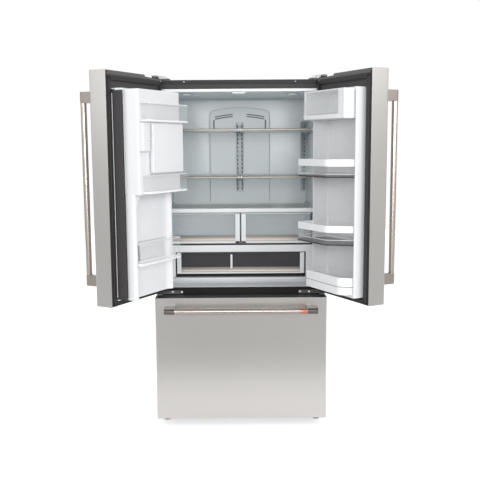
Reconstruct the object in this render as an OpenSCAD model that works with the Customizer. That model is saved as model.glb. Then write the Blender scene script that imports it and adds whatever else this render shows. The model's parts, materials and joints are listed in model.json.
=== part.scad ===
// French door refrigerator with a bottom freezer drawer, millimetres, +Z up.
// The front of the cabinet faces -Y. The origin is on the floor, in the middle
// of the box that the refrigerator fills with both doors swung open.

/* [Cabinet] */
// Width of the cabinet, both doors and the drawer
cabinet_w = 880; // [860:1:910]
// Depth of the cabinet behind the doors
cabinet_d = 720; // [700:1:760]
// Height of the cabinet's top above the floor
cabinet_top = 1786; // [1780:1:1800]
// Height of the cabinet's underside above the floor
cabinet_bottom = 46; // [40:1:60]
// Thickness of the painted steel sheet
sheet = 1; // [0.8:0.1:1.5]
// Thickness of the plastic liners
liner_t = 2.5; // [2:0.5:3]

/* [Doors] */
// Thickness of a door, front face to back edge
door_t = 93.6; // [90:0.1:98]
// Gap between the closed doors' back edge and the cabinet
door_gap = 13.8; // [13.5:0.1:15]
// Underside of the two upper doors
door_bottom = 710; // [709:1:715]
// Top of the two upper doors
door_top = 1799; // [1797:1:1801]
// How far the left door stands open
left_open = 118.3; // [0:0.1:130]
// How far the right door stands open
right_open = 117.3; // [0:0.1:130]
// Top of the freezer drawer's front
drawer_top = 686; // [680:1:686]
// Gap between the two closed doors
centre_gap = 3; // [2:1:6]

/* [Handles] */
// Outside diameter of the handle tubes
tube_d = 28; // [24:1:30]
// Distance from a door's face to its handle's axis
handle_reach = 67.6; // [60:0.1:75]

/* [Hinges] */
// Distance of the hinge axis from the door's outer side
hinge_in = 11.5; // [11:0.1:13]
// Distance of the hinge axis in front of the cabinet
hinge_out = 49.3; // [48:0.1:51]
// Diameter of the hinge pins
pin_d = 8; // [6:1:10]
// Clearance of a pin in its bore, on the radius
pin_gap = 0.05; // [0.02:0.01:0.1]

/* [Shelves] */
// Underside of the two upper shelves
upper_shelf_z = 1534; // [1500:1:1560]
// Underside of the two lower shelves
lower_shelf_z = 1281; // [1250:1:1300]
// Front edge of the shelves, behind the cabinet's front plane
shelf_front = 187; // [182:1:200]

/* [Hidden] */
$fn = 48;

half_w = cabinet_w / 2;
door_w = half_w - centre_gap / 2;
face_y = -(door_gap + door_t);
handle_y = face_y - handle_reach;
// The left door's upper bin is the frontmost point when the doors stand open.
bin_corner = [373, 175];
reach_y = (bin_corner.x - hinge_in) * sin(left_open) - (bin_corner.y + hinge_out) * cos(left_open);
front_y = (hinge_out + reach_y - cabinet_d) / 2;

// Fresh-food room
room_half = 396;
room_floor = 724;
room_step_z = 752;
room_step_y = 120;
room_top = 1725;
room_back = 600;
flange_w = 16;
// Freezer room
freezer_half = 380;
freezer_floor = 92;
freezer_top = 650;
hump_y = 440;
hump_z = 320;
// Front rails
top_rail_z = 1741;
mid_rail_low = 654;
mid_rail_top = 722;
// Door layout, from the door's hinge side
ring_in = 28;
ring_out = 396;
ring_top = 1716;
ring_low = 745;
// Where the part of a door's liner that enters the room begins
plug_in = 46;
hinge_step = 134;
hinge_step_z = 1786;
// Folding bar between the doors: its free side, its pin and its size
mullion_x = 412;
mullion_pin = [408.5, 4.5];
mullion_low = -3;
mullion_w = 55;
mullion_t = 12;
mullion_z = [ring_low + 2, ring_top - 6];
// Hinge pin of the ice box's door
ice_pin = [57, 131.5];
// Dispenser niche in the left door
niche = [120, 320];
niche_z = [1090, 1400];
niche_back = -42;
paddle_y = -74;
paddle_z = 1368;
// Freezer slides
slide_z = [340, 385];
slide_y = [20, 430];

module block(x, y, z) {
    translate([x[0], y[0], z[0]]) cube([x[1] - x[0], y[1] - y[0], z[1] - z[0]]);
}
// Everything is drawn from the cabinet's front plane and set back from the origin.
module placed() { translate([0, front_y, 0]) children(); }
module both_sides() {
    children();
    mirror([1, 0, 0]) children();
}
// Doors are drawn closed, X from the hinge side, and hung at their open angle.
module left_hung() {
    placed() translate([hinge_in - half_w, -hinge_out, 0]) rotate(-left_open)
        translate([-hinge_in, hinge_out, 0]) children();
}
module right_hung() {
    placed() mirror([1, 0, 0]) translate([hinge_in - half_w, -hinge_out, 0]) rotate(-right_open)
        translate([-hinge_in, hinge_out, 0]) children();
}
module along_x(x0, x1) { translate([x0, 0, 0]) rotate([90, 0, 90]) linear_extrude(x1 - x0) children(); }
module pan_outline(w, d, r) {
    translate([r, 0]) square([w - 2 * r, d]);
    translate([0, r]) square([w, d - r]);
    for (x = [r, w - r]) translate([x, r]) circle(r);
}
// A tray of plan outline points, open at the top
module tray(points, z, wall) {
    difference() {
        translate([0, 0, z[0]]) linear_extrude(z[1] - z[0]) polygon(points);
        translate([0, 0, z[0] + wall]) linear_extrude(z[1] - z[0]) offset(delta = -wall) polygon(points);
    }
}
module ring(x, y, z, width) {
    difference() {
        block(x, y, z);
        block([x[0] + width, x[1] - width], [y[0] - 1, y[1] + 1], [z[0] + width, z[1] - width]);
    }
}
module open_box(x, y, z, wall) {
    difference() {
        block(x, y, z);
        block([x[0] + wall, x[1] - wall], [y[0] + wall, y[1] - wall], [z[0] + wall, z[1] + 1]);
    }
}

// ---- Cabinet ----
module cabinet_shell() {
    color("#9a9c9c") placed() {
        both_sides() {
            block([half_w - sheet, half_w], [0, cabinet_d - 4], [cabinet_bottom, cabinet_top]);
            block([room_half + flange_w + 0.5, half_w - sheet], [0, sheet],
                [cabinet_bottom + sheet, cabinet_top - sheet]);
        }
        block([-half_w, half_w], [0, cabinet_d - 4], [cabinet_top - sheet, cabinet_top]);
        block([-half_w, half_w], [0, hump_y], [cabinet_bottom, cabinet_bottom + sheet]);
    }
}
module cabinet_back() {
    color("#8d8f90") placed()
        block([-half_w + 2, half_w - 2], [cabinet_d - 4, cabinet_d - 3], [hump_z + 12, cabinet_top - 2]);
}
module front_rails() {
    rail_x = [-room_half - flange_w, room_half + flange_w];
    color("#4c4e50") placed() {
        block(rail_x, [-sheet, -0.1], [top_rail_z + 0.5, cabinet_top - 1]);
        difference() {
            block(rail_x, [0, 22], [mid_rail_low, mid_rail_top - 1]);
            block([-room_half, room_half], [2, 23], [mid_rail_low + 2, mid_rail_top - 3]);
        }
        block(rail_x, [0, 2], [cabinet_bottom + sheet + 0.5, freezer_floor - liner_t - 0.5]);
    }
}
module fridge_liner() {
    color("#d9dddd") placed() difference() {
        union() {
            block([-room_half - liner_t, room_half + liner_t], [0, room_back + liner_t],
                [room_floor - liner_t + 1, room_top + liner_t]);
            block([-room_half - flange_w, room_half + flange_w], [0, liner_t], [mid_rail_top, top_rail_z]);
        }
        block([-room_half, room_half], [-1, room_step_y], [room_floor, room_top]);
        block([-room_half, room_half], [room_step_y - 1, room_back], [room_step_z, room_top]);
        block([-room_half - 10, room_half + 10], [room_step_y + liner_t, room_back + 10],
            [room_floor - 10, room_step_z - liner_t]);
    }
}
module freezer_liner() {
    outer = [[0, freezer_floor - liner_t], [hump_y, freezer_floor - liner_t], [hump_y, hump_z - liner_t],
        [room_back, hump_z - liner_t], [room_back, freezer_top + liner_t], [0, freezer_top + liner_t]];
    inner = [[-1, freezer_floor], [hump_y - liner_t, freezer_floor], [hump_y - liner_t, hump_z],
        [room_back - liner_t, hump_z], [room_back - liner_t, freezer_top], [-1, freezer_top]];
    color("#e3e6e6") placed() {
        difference() {
            along_x(-freezer_half - liner_t, freezer_half + liner_t) polygon(outer);
            along_x(-freezer_half, freezer_half) polygon(inner);
        }
        both_sides() block([freezer_half + liner_t, room_half + flange_w], [0, liner_t],
            [freezer_floor - liner_t, freezer_top + liner_t]);
    }
}
module base_pan() {
    color("#6a6c6e") placed() {
        difference() {
            block([-430, 430], [hump_y + 1, 705], [38, 40]);
            both_sides() block([383, 408], [614, 666], [37, 41]);
        }
        both_sides() {
            block([418, 432], [0, 708], [24, 38]);
            block([386, 412], [0, 40], [38, 45.5]);
            for (x = [380, 408]) block([x, x + 3], [612, 668], [14, 38]);
            translate([383, 640, 24]) rotate([0, 90, 0]) cylinder(d = 10, h = 25);
        }
        block([-418, 418], [0, 12], [28, 38]);
    }
}
module levelling_feet() {
    color("#1c1c1d") placed() both_sides() translate([399, 20, 0]) {
        cylinder(d = 40, h = 10);
        cylinder(d = 12, h = 38);
    }
}
module roller() {
    rotate([0, 90, 0]) difference() {
        cylinder(d = 48, h = 22, center = true);
        cylinder(d = 10 + 2 * pin_gap, h = 30, center = true);
    }
}
module rear_roller_left() { color("#2a2a2b") placed() translate([-395.5, 640, 24]) roller(); }
module rear_roller_right() { color("#2a2a2b") placed() translate([395.5, 640, 24]) roller(); }

module hinge_arm(z0, z1) {
    difference() {
        union() {
            translate([half_w - hinge_in, -hinge_out, z0]) cylinder(d = 23, h = z1 - z0);
            block([half_w - 23, half_w], [-hinge_out, 0], [z0, z1]);
        }
        translate([half_w - hinge_in, -hinge_out, z0 - 1]) cylinder(d = pin_d, h = z1 - z0 + 2);
    }
}
module door_hinges() {
    color("#202122") placed() both_sides() {
        hinge_arm(hinge_step_z + 1, hinge_step_z + 6);
        block([half_w - 88, half_w], [0, 60], [cabinet_top + 0.2, hinge_step_z + 6]);
        translate([half_w - hinge_in, -hinge_out, hinge_step_z - 24]) cylinder(d = pin_d, h = 30);
        hinge_arm(701, 707);
        block([half_w - 138, half_w - 1], [-5, -0.1], [687, 707]);
        translate([half_w - hinge_in, -hinge_out, 701]) cylinder(d = pin_d, h = 32);
    }
}
module hinge_covers() {
    low = cabinet_top + 6.4;
    color("#2b2c2e") placed() both_sides() {
        translate([0, 66, 0]) rotate([90, 0, 0]) linear_extrude(66)
            polygon([[half_w - 85, low], [half_w - 57, 1808], [half_w, 1808], [half_w, low]]);
        block([half_w - 36, half_w - 1], [-60, 1], [low, 1805]);
    }
}
module screw_head(d) {
    rotate([90, 0, 0]) cylinder(d = d, h = 2);
}
module hinge_screws() {
    color("#c9c9c6") placed() both_sides() {
        for (x = [310, 358]) translate([x, -5, 696]) screw_head(13);
        translate([281, -sheet, 1776]) screw_head(7);
    }
}

// ---- Fresh-food room fittings ----
module ladder(x0, x1, y0, y1, columns) {
    difference() {
        block([x0, x1], [y0, y1], [1186, 1594]);
        for (x = columns, z = [1200 : 24 : 1572]) block([x - 3, x + 3], [y0 - 1, y1 + 1], [z, z + 13]);
    }
}
module shelf_ladders() {
    color("#dfe2e2") placed() {
        ladder(-23, 23, 573, 577, [-12, 12]);
        ladder(-room_half + 4, -room_half + 38, 595, 599, [-380]);
        ladder(room_half - 38, room_half - 4, 595, 599, [380]);
    }
}
module duct_cover() {
    color("#c3cccf") placed() difference() {
        union() {
            block([-173, 173], [578, 599], [1130, 1653]);
            translate([0, 599, 1653]) intersection() {
                arched_head();
                block([-173, 173], [-21, 0], [0, 40]);
            }
        }
        block([-168, 168], [582, 600], [1135, 1648]);
        for (side = [-1, 1]) {
            block([side * 150 - 4, side * 150 + 4], [577, 590], [1552, 1606]);
            block([side * 93 - 52, side * 93 + 52], [577, 590], [1622, 1640]);
        }
    }
}
// The arched head of the duct cover, a flat segment of a large circle
module arched_head() {
    translate([0, 0, -669]) rotate([90, 0, 0]) cylinder(r = 691, h = 21, $fn = 180);
}
module mullion_guide() {
    color("#eceeed") placed() difference() {
        block([-37, 30], [5, 34], [1718, room_top - 0.2]);
        block([-20, 31], [14, 22], [1717, 1722]);
    }
}
module half_shelf(z) {
    x = [3, 390];
    difference() {
        block(x, [shelf_front, 560], [z, z + 12]);
        block([x[0] + 12, x[1] - 12], [shelf_front + 15, 548], [z - 1, z + 13]);
    }
    for (side = [x[0] + 2, x[1] - 6]) block([side, side + 4], [shelf_front + 70, 560], [z - 12, z]);
    block([x[0] + 2, x[0] + 16], [560, 572], [z - 24, z + 8]);
    block([x[1] - 18, x[1] - 4], [560, 594], [z - 24, z + 8]);
}
module shelf_frames() {
    color("#b9ab98") placed() both_sides() for (z = [upper_shelf_z, lower_shelf_z]) half_shelf(z);
}
module shelf_glass() {
    color("#cfe0dc", 0.5) placed() {
        both_sides() for (z = [upper_shelf_z, lower_shelf_z])
            block([15.4, 377.6], [shelf_front + 15.4, 547.6], [z + 5, z + 9]);
        block([-377.6, 377.6], [167.4, 561.6], [1114, 1118]);
    }
}
module crisper_cover() {
    color("#eef0ef") placed() difference() {
        block([-392, 392], [145, 574], [1099, 1123]);
        block([-378, 378], [167, 562], [1098, 1124]);
    }
}
module drawer_frame() {
    color("#eef0ef") placed() {
        block([-392, 392], [130, 150], [888, 927]);
        block([-392, 392], [150, 580], [915, 919]);
        both_sides() block([351, 392], [130, 580], [room_step_z + 1, 888]);
        block([-392, 392], [578, 580], [room_step_z + 1, 915]);
    }
}
module crisper(x) {
    difference() {
        block(x, [145, 560], [934, 1096]);
        block([x[0] + 4, x[1] - 4], [149, 556], [938, 1097]);
    }
}
module left_crisper() { color("#d5dbdb", 0.7) placed() crisper([-378, -3]); }
module right_crisper() { color("#d5dbdb", 0.7) placed() crisper([5, 380]); }
module deli_pan() {
    color("#4a4543") placed() {
        open_box([-343, 343], [128, 560], [772, 885], 4);
        block([-52, -46], [132.2, 555.8], [776.2, 870]);
    }
}

// ---- Cooling system ----
module compressor() {
    color("#1f2021") placed() translate([270, 600, 0]) {
        translate([0, 0, 52]) cylinder(d = 150, h = 150);
        translate([0, 0, 202]) cylinder(d = 120, h = 14);
        for (x = [-60, 60], y = [-50, 50]) translate([x, y, 40]) cylinder(d = 20, h = 30);
    }
}
module condenser() {
    color("#2c2d2f") placed() {
        for (x = [-330 : 30 : -120]) block([x, x + 1.5], [520, 660], [60, 240]);
        for (y = [540 : 30 : 640], z = [80 : 35 : 220])
            translate([-345, y, z]) rotate([0, 90, 0]) cylinder(d = 8, h = 240);
        condenser_plates();
    }
}
module condenser_plates() {
    for (x = [-345, -107]) block([x - 2, x], [515, 665], [40, 245]);
    difference() {
        block([-68, -64], [505, 675], [40, 240]);
        translate([-69, 590, 150]) rotate([0, 90, 0]) cylinder(d = 158, h = 6);
    }
    translate([-16, 590, 150]) rotate([0, 90, 0]) cylinder(d = 60, h = 34);
    block([-10, 10], [575, 605], [40, 125]);
}
module fan(d, depth) {
    cylinder(d = d * 0.32, h = depth, center = true);
    for (a = [0 : 72 : 359]) rotate(a) translate([d * 0.3, 0, 0]) rotate([28, 0, 0])
        cube([d * 0.38, d * 0.18, 2.5], center = true);
}
module condenser_fan() {
    color("#303234") placed() translate([-40, 590, 150]) rotate([0, 90, 0]) fan(150, 36);
}
module evaporator() {
    color("#b7babb") placed() {
        for (x = [-200 : 25 : 200]) block([x, x + 1.5], [612, 672], [350, 540]);
        for (y = [627, 657], z = [370 : 30 : 520])
            translate([-206, y, z]) rotate([0, 90, 0]) cylinder(d = 8, h = 412);
        for (x = [-208, 206]) block([x, x + 2], [room_back + 0.2, 680], [345, 545]);
        difference() {
            block([-75, 75], [641, 649], [541, 682]);
            translate([0, 640, 610]) rotate([-90, 0, 0]) cylinder(d = 118, h = 10);
        }
    }
}
module evaporator_fan() {
    color("#d4d6d6") placed() translate([0, 645, 610]) rotate([90, 0, 0]) fan(110, 30);
}
module rear_cover() {
    color("#7b7e80") placed() difference() {
        block([-half_w + 6, half_w - 6], [cabinet_d - 4, cabinet_d - 3], [cabinet_bottom + 6, hump_z + 10]);
        for (x = [-360 : 40 : 360]) block([x - 5, x + 5], [cabinet_d - 5, cabinet_d], [110, 230]);
    }
}

// ---- Freezer ----
module slide_member(x) { block(x, slide_y, slide_z); }
module freezer_rails() { color("#a8abad") placed() both_sides() slide_member([371, freezer_half - 0.2]); }
module slide_middles() { color("#b4b7b9") placed() both_sides() slide_member([360, 370.6]); }
module drawer_arms() {
    color("#a8abad") placed() both_sides() {
        slide_member([349, 359.6]);
        block([349, 359.6], [-13.6, slide_y[0]], slide_z);
    }
}
module freezer_bin() {
    color("#dfe3e3") placed() {
        open_box([-344, 344], [22, 425], [120, slide_z[1] + 4], 3);
        both_sides() block([343, 357], [22, 425], [slide_z[1] + 0.3, slide_z[1] + 4]);
    }
}
module freezer_basket() {
    color("#e7eaea") placed() open_box([-352, 352], [26, 425], [430, 560], 3);
}
module drawer_skin() {
    color("#b9b8b5") placed() translate([-half_w, face_y, cabinet_bottom]) difference() {
        linear_extrude(drawer_top - cabinet_bottom) pan_outline(cabinet_w, door_t, 7);
        translate([1.2, 1.2, -1]) linear_extrude(drawer_top) pan_outline(cabinet_w - 2.4, door_t, 6);
    }
}
module drawer_inner() {
    color("#55585a") placed() difference() {
        block([-half_w + 1.4, half_w - 1.4], [face_y + 7.4, -door_gap], [cabinet_bottom + 2, drawer_top - 2]);
        block([-half_w + 6, half_w - 6], [face_y + 7, -door_gap - 4], [cabinet_bottom + 8, drawer_top - 8]);
    }
}
module drawer_gasket() {
    color("#5d5f60") placed()
        ring([-half_w + 12, half_w - 12], [-door_gap, -1.2], [cabinet_bottom + 10, 678], 18);
}
module handle_post(y_face) {
    block([-14, 14], [handle_y, y_face], [-26, 26]);
    translate([0, handle_y, -26]) cylinder(r = 14.8, h = 52);
}
module drawer_handle() {
    handle_z = 630;
    color("#a39a90") placed() {
        for (x = [-361, 361]) translate([x, 0, handle_z]) rotate([0, 90, 0]) handle_post(face_y);
        translate([-387, handle_y, handle_z]) rotate([0, 90, 0]) cylinder(d = tube_d, h = 774);
    }
}

// ---- Both upper doors ----
module door_skin() {
    translate([0, face_y, door_bottom]) difference() {
        linear_extrude(door_top - door_bottom) pan_outline(door_w, door_t, 7);
        translate([1.2, 1.2, -1]) linear_extrude(door_top) pan_outline(door_w - 2.4, door_t, 6);
        translate([-1, 10, hinge_step_z - door_bottom]) cube([hinge_step + 1, door_t, 40]);
    }
}
module door_frame() {
    inside = [1.4, door_w - 1.4];
    deep = [face_y + 7.4, -door_gap - 3];
    boss = [-hinge_out - 16, -hinge_out + 16];
    difference() {
        union() {
            block(inside, [-door_gap - 3, -door_gap], [door_bottom + 2, door_top - 2]);
            block(inside, deep, [door_top - 12, door_top - 2]);
            block([inside[0], hinge_step + 4], deep, [hinge_step_z - 10, hinge_step_z - 0.2]);
            block([hinge_step, hinge_step + 4], deep, [hinge_step_z - 10, door_top - 2]);
            block(inside, deep, [door_bottom + 2, door_bottom + 8]);
            block([inside[0], 27], boss, [hinge_step_z - 36, hinge_step_z - 1]);
            block([inside[0], 27], boss, [door_bottom + 2, door_bottom + 35]);
        }
        block([ring_in + 2.5, ring_out - 2.5], [-20, 0], [ring_low - 0.1, ring_top + 0.1]);
        block([-1, hinge_step], [face_y + 5, 0], [hinge_step_z - 0.2, door_top]);
        for (z = [hinge_step_z - 28, door_bottom - 5])
            translate([hinge_in, -hinge_out, z]) cylinder(d = pin_d + 2 * pin_gap, h = 31);
    }
}
module door_gasket() { ring([9, 431.5], [-door_gap, -1.2], [door_bottom + 7, 1770], 17.5); }
module door_handle() {
    translate([400, 0, 0]) {
        for (z = [824, 1680]) translate([0, 0, z]) handle_post(face_y);
        translate([0, handle_y, 798]) cylinder(d = tube_d, h = 908);
    }
}

// ---- Left door ----
module left_door_skin() {
    color("#b9b8b5") left_hung() difference() {
        door_skin();
        block(niche, [face_y - 1, face_y + 3], [niche_z[0], niche_z[1] + 120]);
    }
}
module left_door_frame() { color("#4b4d50") left_hung() door_frame(); }
module left_door_gasket() { color("#5d5f60") left_hung() door_gasket(); }
module left_door_liner() {
    low = [[ring_in, -13.6], [ring_in, -2], [plug_in, -2], [plug_in, 70], [54, 70], [60, 50], [362, 50],
        [370, 92], [376, 96], [388, 96], [ring_out, 86], [ring_out, -13.6]];
    high = [[ring_in, -13.6], [ring_in, -2], [plug_in, -2], [plug_in, 50], [ring_out, 50], [ring_out, -13.6]];
    hollow_z = [ring_low + liner_t, ring_top - liner_t];
    color("#e9eceb") left_hung() {
        difference() {
            union() {
                translate([0, 0, ring_low]) linear_extrude(1230 - ring_low) polygon(low);
                translate([0, 0, 1230]) linear_extrude(ring_top - 1230) polygon(high);
            }
            block([ring_in + liner_t, 60], [-20, -4.5], hollow_z);
            block([plug_in + liner_t, ring_out - liner_t], [-20, 47.5], hollow_z);
            block([372.5, ring_out - liner_t], [47, 84], [ring_low + liner_t, 1230 - liner_t]);
            block([plug_in + liner_t, 52], [47, 67], [ring_low + liner_t, 1230 - liner_t]);
        }
        for (z = [mullion_z[0] - 6, mullion_z[1] + 1]) block([392, 413], [-4, 9], [z, z + 5]);
        for (z = [mullion_z[0] - 6, mullion_z[1] - 13])
            translate([mullion_pin.x, mullion_pin.y, z]) cylinder(d = 5, h = 19);
    }
}
module mullion_bar() {
    color("#464344") left_hung() difference() {
        union() {
            block([mullion_x - mullion_t, mullion_x], [mullion_low, mullion_low + mullion_w], mullion_z);
            block([mullion_x - mullion_t, mullion_x], [13, mullion_low + mullion_w],
                [mullion_z[1] - 1, mullion_z[1] + 6]);
        }
        for (z = [mullion_z[0] - 1, mullion_z[1] - 15])
            translate([mullion_pin.x, mullion_pin.y, z]) cylinder(d = 5 + 2 * pin_gap, h = 16);
    }
}
module ice_box() {
    outer = [[46.5, 50.2], [46.5, 124], [384, 124], [388, 115], [394, 50.2]];
    color("#eef0ef") left_hung() difference() {
        union() {
            translate([0, 0, 1234]) linear_extrude(1712 - 1234) polygon(outer);
            block([325, 383], [123, 144], [1432, 1562]);
        }
        block([50, 384], [54, 120], [1238, 1708]);
        block([58, 300], [110, 125], [1340, 1548]);
        block([383, 390], [112, 125], [1475, 1555]);
    }
    color("#eef0ef") left_hung() for (z = [1326.5, 1561]) {
        block([50, 64], [123.5, 138], [z, z + 4.5]);
        translate([ice_pin.x, ice_pin.y, z > 1500 ? z - 14 : z]) cylinder(d = 5, h = 18);
    }
}
module ice_box_door() {
    color("#e6e9e9") left_hung() {
        difference() {
            block([52, 308], [126.5, 147], [1332, 1560]);
            block([66, 302], [125, 144], [1338, 1554]);
            for (z = [1331, 1546])
                translate([ice_pin.x, ice_pin.y, z]) cylinder(d = 5 + 2 * pin_gap, h = 15);
        }
        block([300, 322], [147, 152], [1455, 1482]);
    }
}
module ice_box_bin(width, depth, z) {
    corner = 8;
    plan = [[47, 124.5], [width, 124.5], [width, depth - corner], [width - corner, depth],
        [47 + corner, depth], [47, depth - corner]];
    color("#e4eaec", 0.6) left_hung() tray(plan, z, 3);
}
module left_bin_upper() { ice_box_bin(bin_corner.x, bin_corner.y, [1566, 1650]); }
module left_bin_middle() { ice_box_bin(366, 167, [1240, 1325]); }
module left_bin_lower() {
    plan = [[64, 50.5], [360, 50.5], [368, 97], [385, 97], [385, 116], [376, 124], [56, 124], [47, 115],
        [47, 72], [57, 72]];
    color("#e4eaec", 0.6) left_hung() tray(plan, [908, 1010], 3);
}
module left_handle() { color("#a39a90") left_hung() door_handle(); }
module dispenser() {
    color("#2a2b2d") left_hung() {
        difference() {
            block([niche[0] + 0.3, niche[1] - 0.3], [face_y, niche_back],
                [niche_z[0] + 0.3, niche_z[1] + 119.7]);
            block([niche[0] + 5, niche[1] - 5], [face_y - 1, niche_back - 4], [niche_z[0] + 12, niche_z[1]]);
            block([niche[0] + 5, niche[1] - 5], [face_y + 12, niche_back + 1],
                [niche_z[1] + 6, niche_z[1] + 115]);
        }
        difference() {
            for (x = [174, 256])
                block([x, x + 10], [paddle_y - 7, paddle_y + 7], [paddle_z - 8, niche_z[1] + 1]);
            translate([170, paddle_y, paddle_z]) rotate([0, 90, 0])
                cylinder(d = 6 + 2 * pin_gap, h = 100);
        }
        translate([220, paddle_y, niche_z[1] - 26]) cylinder(d = 26, h = 40);
        block([niche[0] + 30, niche[1] - 30], [face_y + 2, niche_back - 8],
            [niche_z[0] + 12, niche_z[0] + 16]);
    }
}
module dispenser_paddle() {
    color("#3a3c3e") left_hung() {
        block([190, 250], [paddle_y - 2, paddle_y + 2], [paddle_z - 128, paddle_z]);
        translate([176, paddle_y, paddle_z]) rotate([0, 90, 0]) cylinder(d = 6, h = 88);
    }
}

// ---- Right door ----
module right_door_skin() { color("#b9b8b5") right_hung() door_skin(); }
module right_door_frame() { color("#4b4d50") right_hung() door_frame(); }
module right_door_gasket() { color("#5d5f60") right_hung() door_gasket(); }
module right_door_liner() {
    wall = [[ring_in, -13.6], [ring_in, -2], [plug_in, -2], [plug_in, 44], [50, 44], [53, 41], [58, -43],
        [384, -43], [390, 36], [392, 39], [ring_out, 39], [ring_out, -13.6], [393.5, -13.6], [393.5, 34],
        [386.5, -45.5], [55.5, -45.5], [49, 34], [48.5, -4.5], [30.5, -4.5], [30.5, -13.6]];
    color("#e9eceb") right_hung() {
        translate([0, 0, ring_low]) linear_extrude(ring_top - ring_low) polygon(wall);
        for (z = [ring_low, ring_top - liner_t])
            block([48.5, ring_out - liner_t], [-45.5, 34], [z, z + liner_t]);
    }
}
module dairy_box() {
    color("#eef0ef") right_hung() {
        difference() {
            block([60, 380], [-40, 96], [1576, 1711]);
            block([64, 335], [-36, 97], [1580, 1707]);
            block([341, 376], [-36, 92], [1580, 1707]);
        }
        block([46.5, 60], [48, 96], [1576, 1711]);
    }
}
module dairy_lid() {
    color("#dfe8ea", 0.5) right_hung() {
        block([50, 336], [97, 100], [1600, 1708]);
        block([50, 336], [97, 104], [1600, 1606]);
        translate([50, 98.5, 1708]) rotate([0, 90, 0]) cylinder(d = 4.4, h = 286);
    }
}
module right_tray(depth, slant, z) {
    tray([[60, -41.5], [380, -41.5], [385, 40], [376, 46], [376 - slant, depth], [57, depth],
        [47, depth - 10], [47, 46.5], [57, 46.5]], z, 3);
}
module right_bin_upper() { color("#dde5e7", 0.6) right_hung() right_tray(137, 76, [1305, 1390]); }
module right_bin_middle() { color("#dde5e7", 0.6) right_hung() right_tray(137, 76, [990, 1083]); }
module right_bin_lower() { color("#dde5e7", 0.6) right_hung() right_tray(88, 36, [757, 839]); }
module right_handle() { color("#a39a90") right_hung() door_handle(); }

cabinet_shell();
cabinet_back();
front_rails();
fridge_liner();
freezer_liner();
base_pan();
levelling_feet();
rear_roller_left();
rear_roller_right();
door_hinges();
hinge_covers();
hinge_screws();
shelf_ladders();
duct_cover();
mullion_guide();
shelf_frames();
shelf_glass();
crisper_cover();
drawer_frame();
compressor();
condenser();
condenser_fan();
evaporator();
evaporator_fan();
rear_cover();
freezer_rails();
slide_middles();
left_door_skin();
left_door_frame();
left_door_gasket();
left_door_liner();
ice_box();
ice_box_door();
left_bin_upper();
left_bin_middle();
left_bin_lower();
left_handle();
dispenser();
dispenser_paddle();
mullion_bar();
right_door_skin();
right_door_frame();
right_door_gasket();
right_door_liner();
dairy_box();
dairy_lid();
right_bin_upper();
right_bin_middle();
right_bin_lower();
right_handle();
drawer_skin();
drawer_inner();
drawer_gasket();
drawer_handle();
drawer_arms();
freezer_bin();
freezer_basket();
left_crisper();
right_crisper();
deli_pan();
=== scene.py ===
"""The looks of a french door refrigerator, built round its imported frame.

Sizes in this script are millimetres. Each sub-assembly works in its own local
space: the cabinet's starts at its front plane, and a door's is the closed door,
with X from the hinge side and Y from the cabinet's front plane.
"""

import json
import logging
import math
from dataclasses import dataclass
from enum import Enum
from typing import Iterable, Optional, Sequence, Union

import bmesh
import bpy
from mathutils import Matrix, Vector

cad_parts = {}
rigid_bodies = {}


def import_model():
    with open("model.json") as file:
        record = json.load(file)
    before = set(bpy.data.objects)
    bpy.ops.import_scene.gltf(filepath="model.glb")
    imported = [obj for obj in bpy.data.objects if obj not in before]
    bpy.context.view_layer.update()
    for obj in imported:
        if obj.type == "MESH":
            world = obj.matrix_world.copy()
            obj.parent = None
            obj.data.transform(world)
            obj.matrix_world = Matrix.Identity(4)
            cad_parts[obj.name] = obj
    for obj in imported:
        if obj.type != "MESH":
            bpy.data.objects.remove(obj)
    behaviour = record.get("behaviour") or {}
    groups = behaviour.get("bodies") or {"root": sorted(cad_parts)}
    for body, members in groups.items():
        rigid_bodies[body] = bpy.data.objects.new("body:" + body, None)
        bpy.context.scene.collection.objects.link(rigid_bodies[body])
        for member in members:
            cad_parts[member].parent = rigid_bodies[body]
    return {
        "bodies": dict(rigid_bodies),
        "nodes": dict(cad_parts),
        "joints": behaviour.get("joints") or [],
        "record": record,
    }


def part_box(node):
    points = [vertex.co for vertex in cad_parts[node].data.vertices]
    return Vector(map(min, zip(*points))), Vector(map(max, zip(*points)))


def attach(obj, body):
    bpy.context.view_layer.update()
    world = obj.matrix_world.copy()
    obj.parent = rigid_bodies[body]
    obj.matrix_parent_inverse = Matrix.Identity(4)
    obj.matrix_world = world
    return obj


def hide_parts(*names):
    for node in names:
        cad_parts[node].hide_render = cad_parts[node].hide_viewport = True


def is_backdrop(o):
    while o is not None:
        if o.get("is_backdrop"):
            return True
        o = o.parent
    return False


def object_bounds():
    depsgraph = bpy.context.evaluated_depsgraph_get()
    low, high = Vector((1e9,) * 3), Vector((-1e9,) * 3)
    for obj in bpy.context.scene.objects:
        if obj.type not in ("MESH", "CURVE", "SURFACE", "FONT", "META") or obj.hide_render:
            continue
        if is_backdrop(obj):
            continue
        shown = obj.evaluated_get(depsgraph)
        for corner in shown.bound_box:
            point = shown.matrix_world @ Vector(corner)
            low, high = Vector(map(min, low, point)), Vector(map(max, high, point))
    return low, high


for leftover in list(bpy.data.objects):
    bpy.data.objects.remove(leftover)
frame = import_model()

LOG = logging.getLogger("refrigerator")
MILLIMETRE = 0.001

Point = Sequence[float]
Number = Union[float, "Field"]


# ---------------------------------------------------------------- shading


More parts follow.
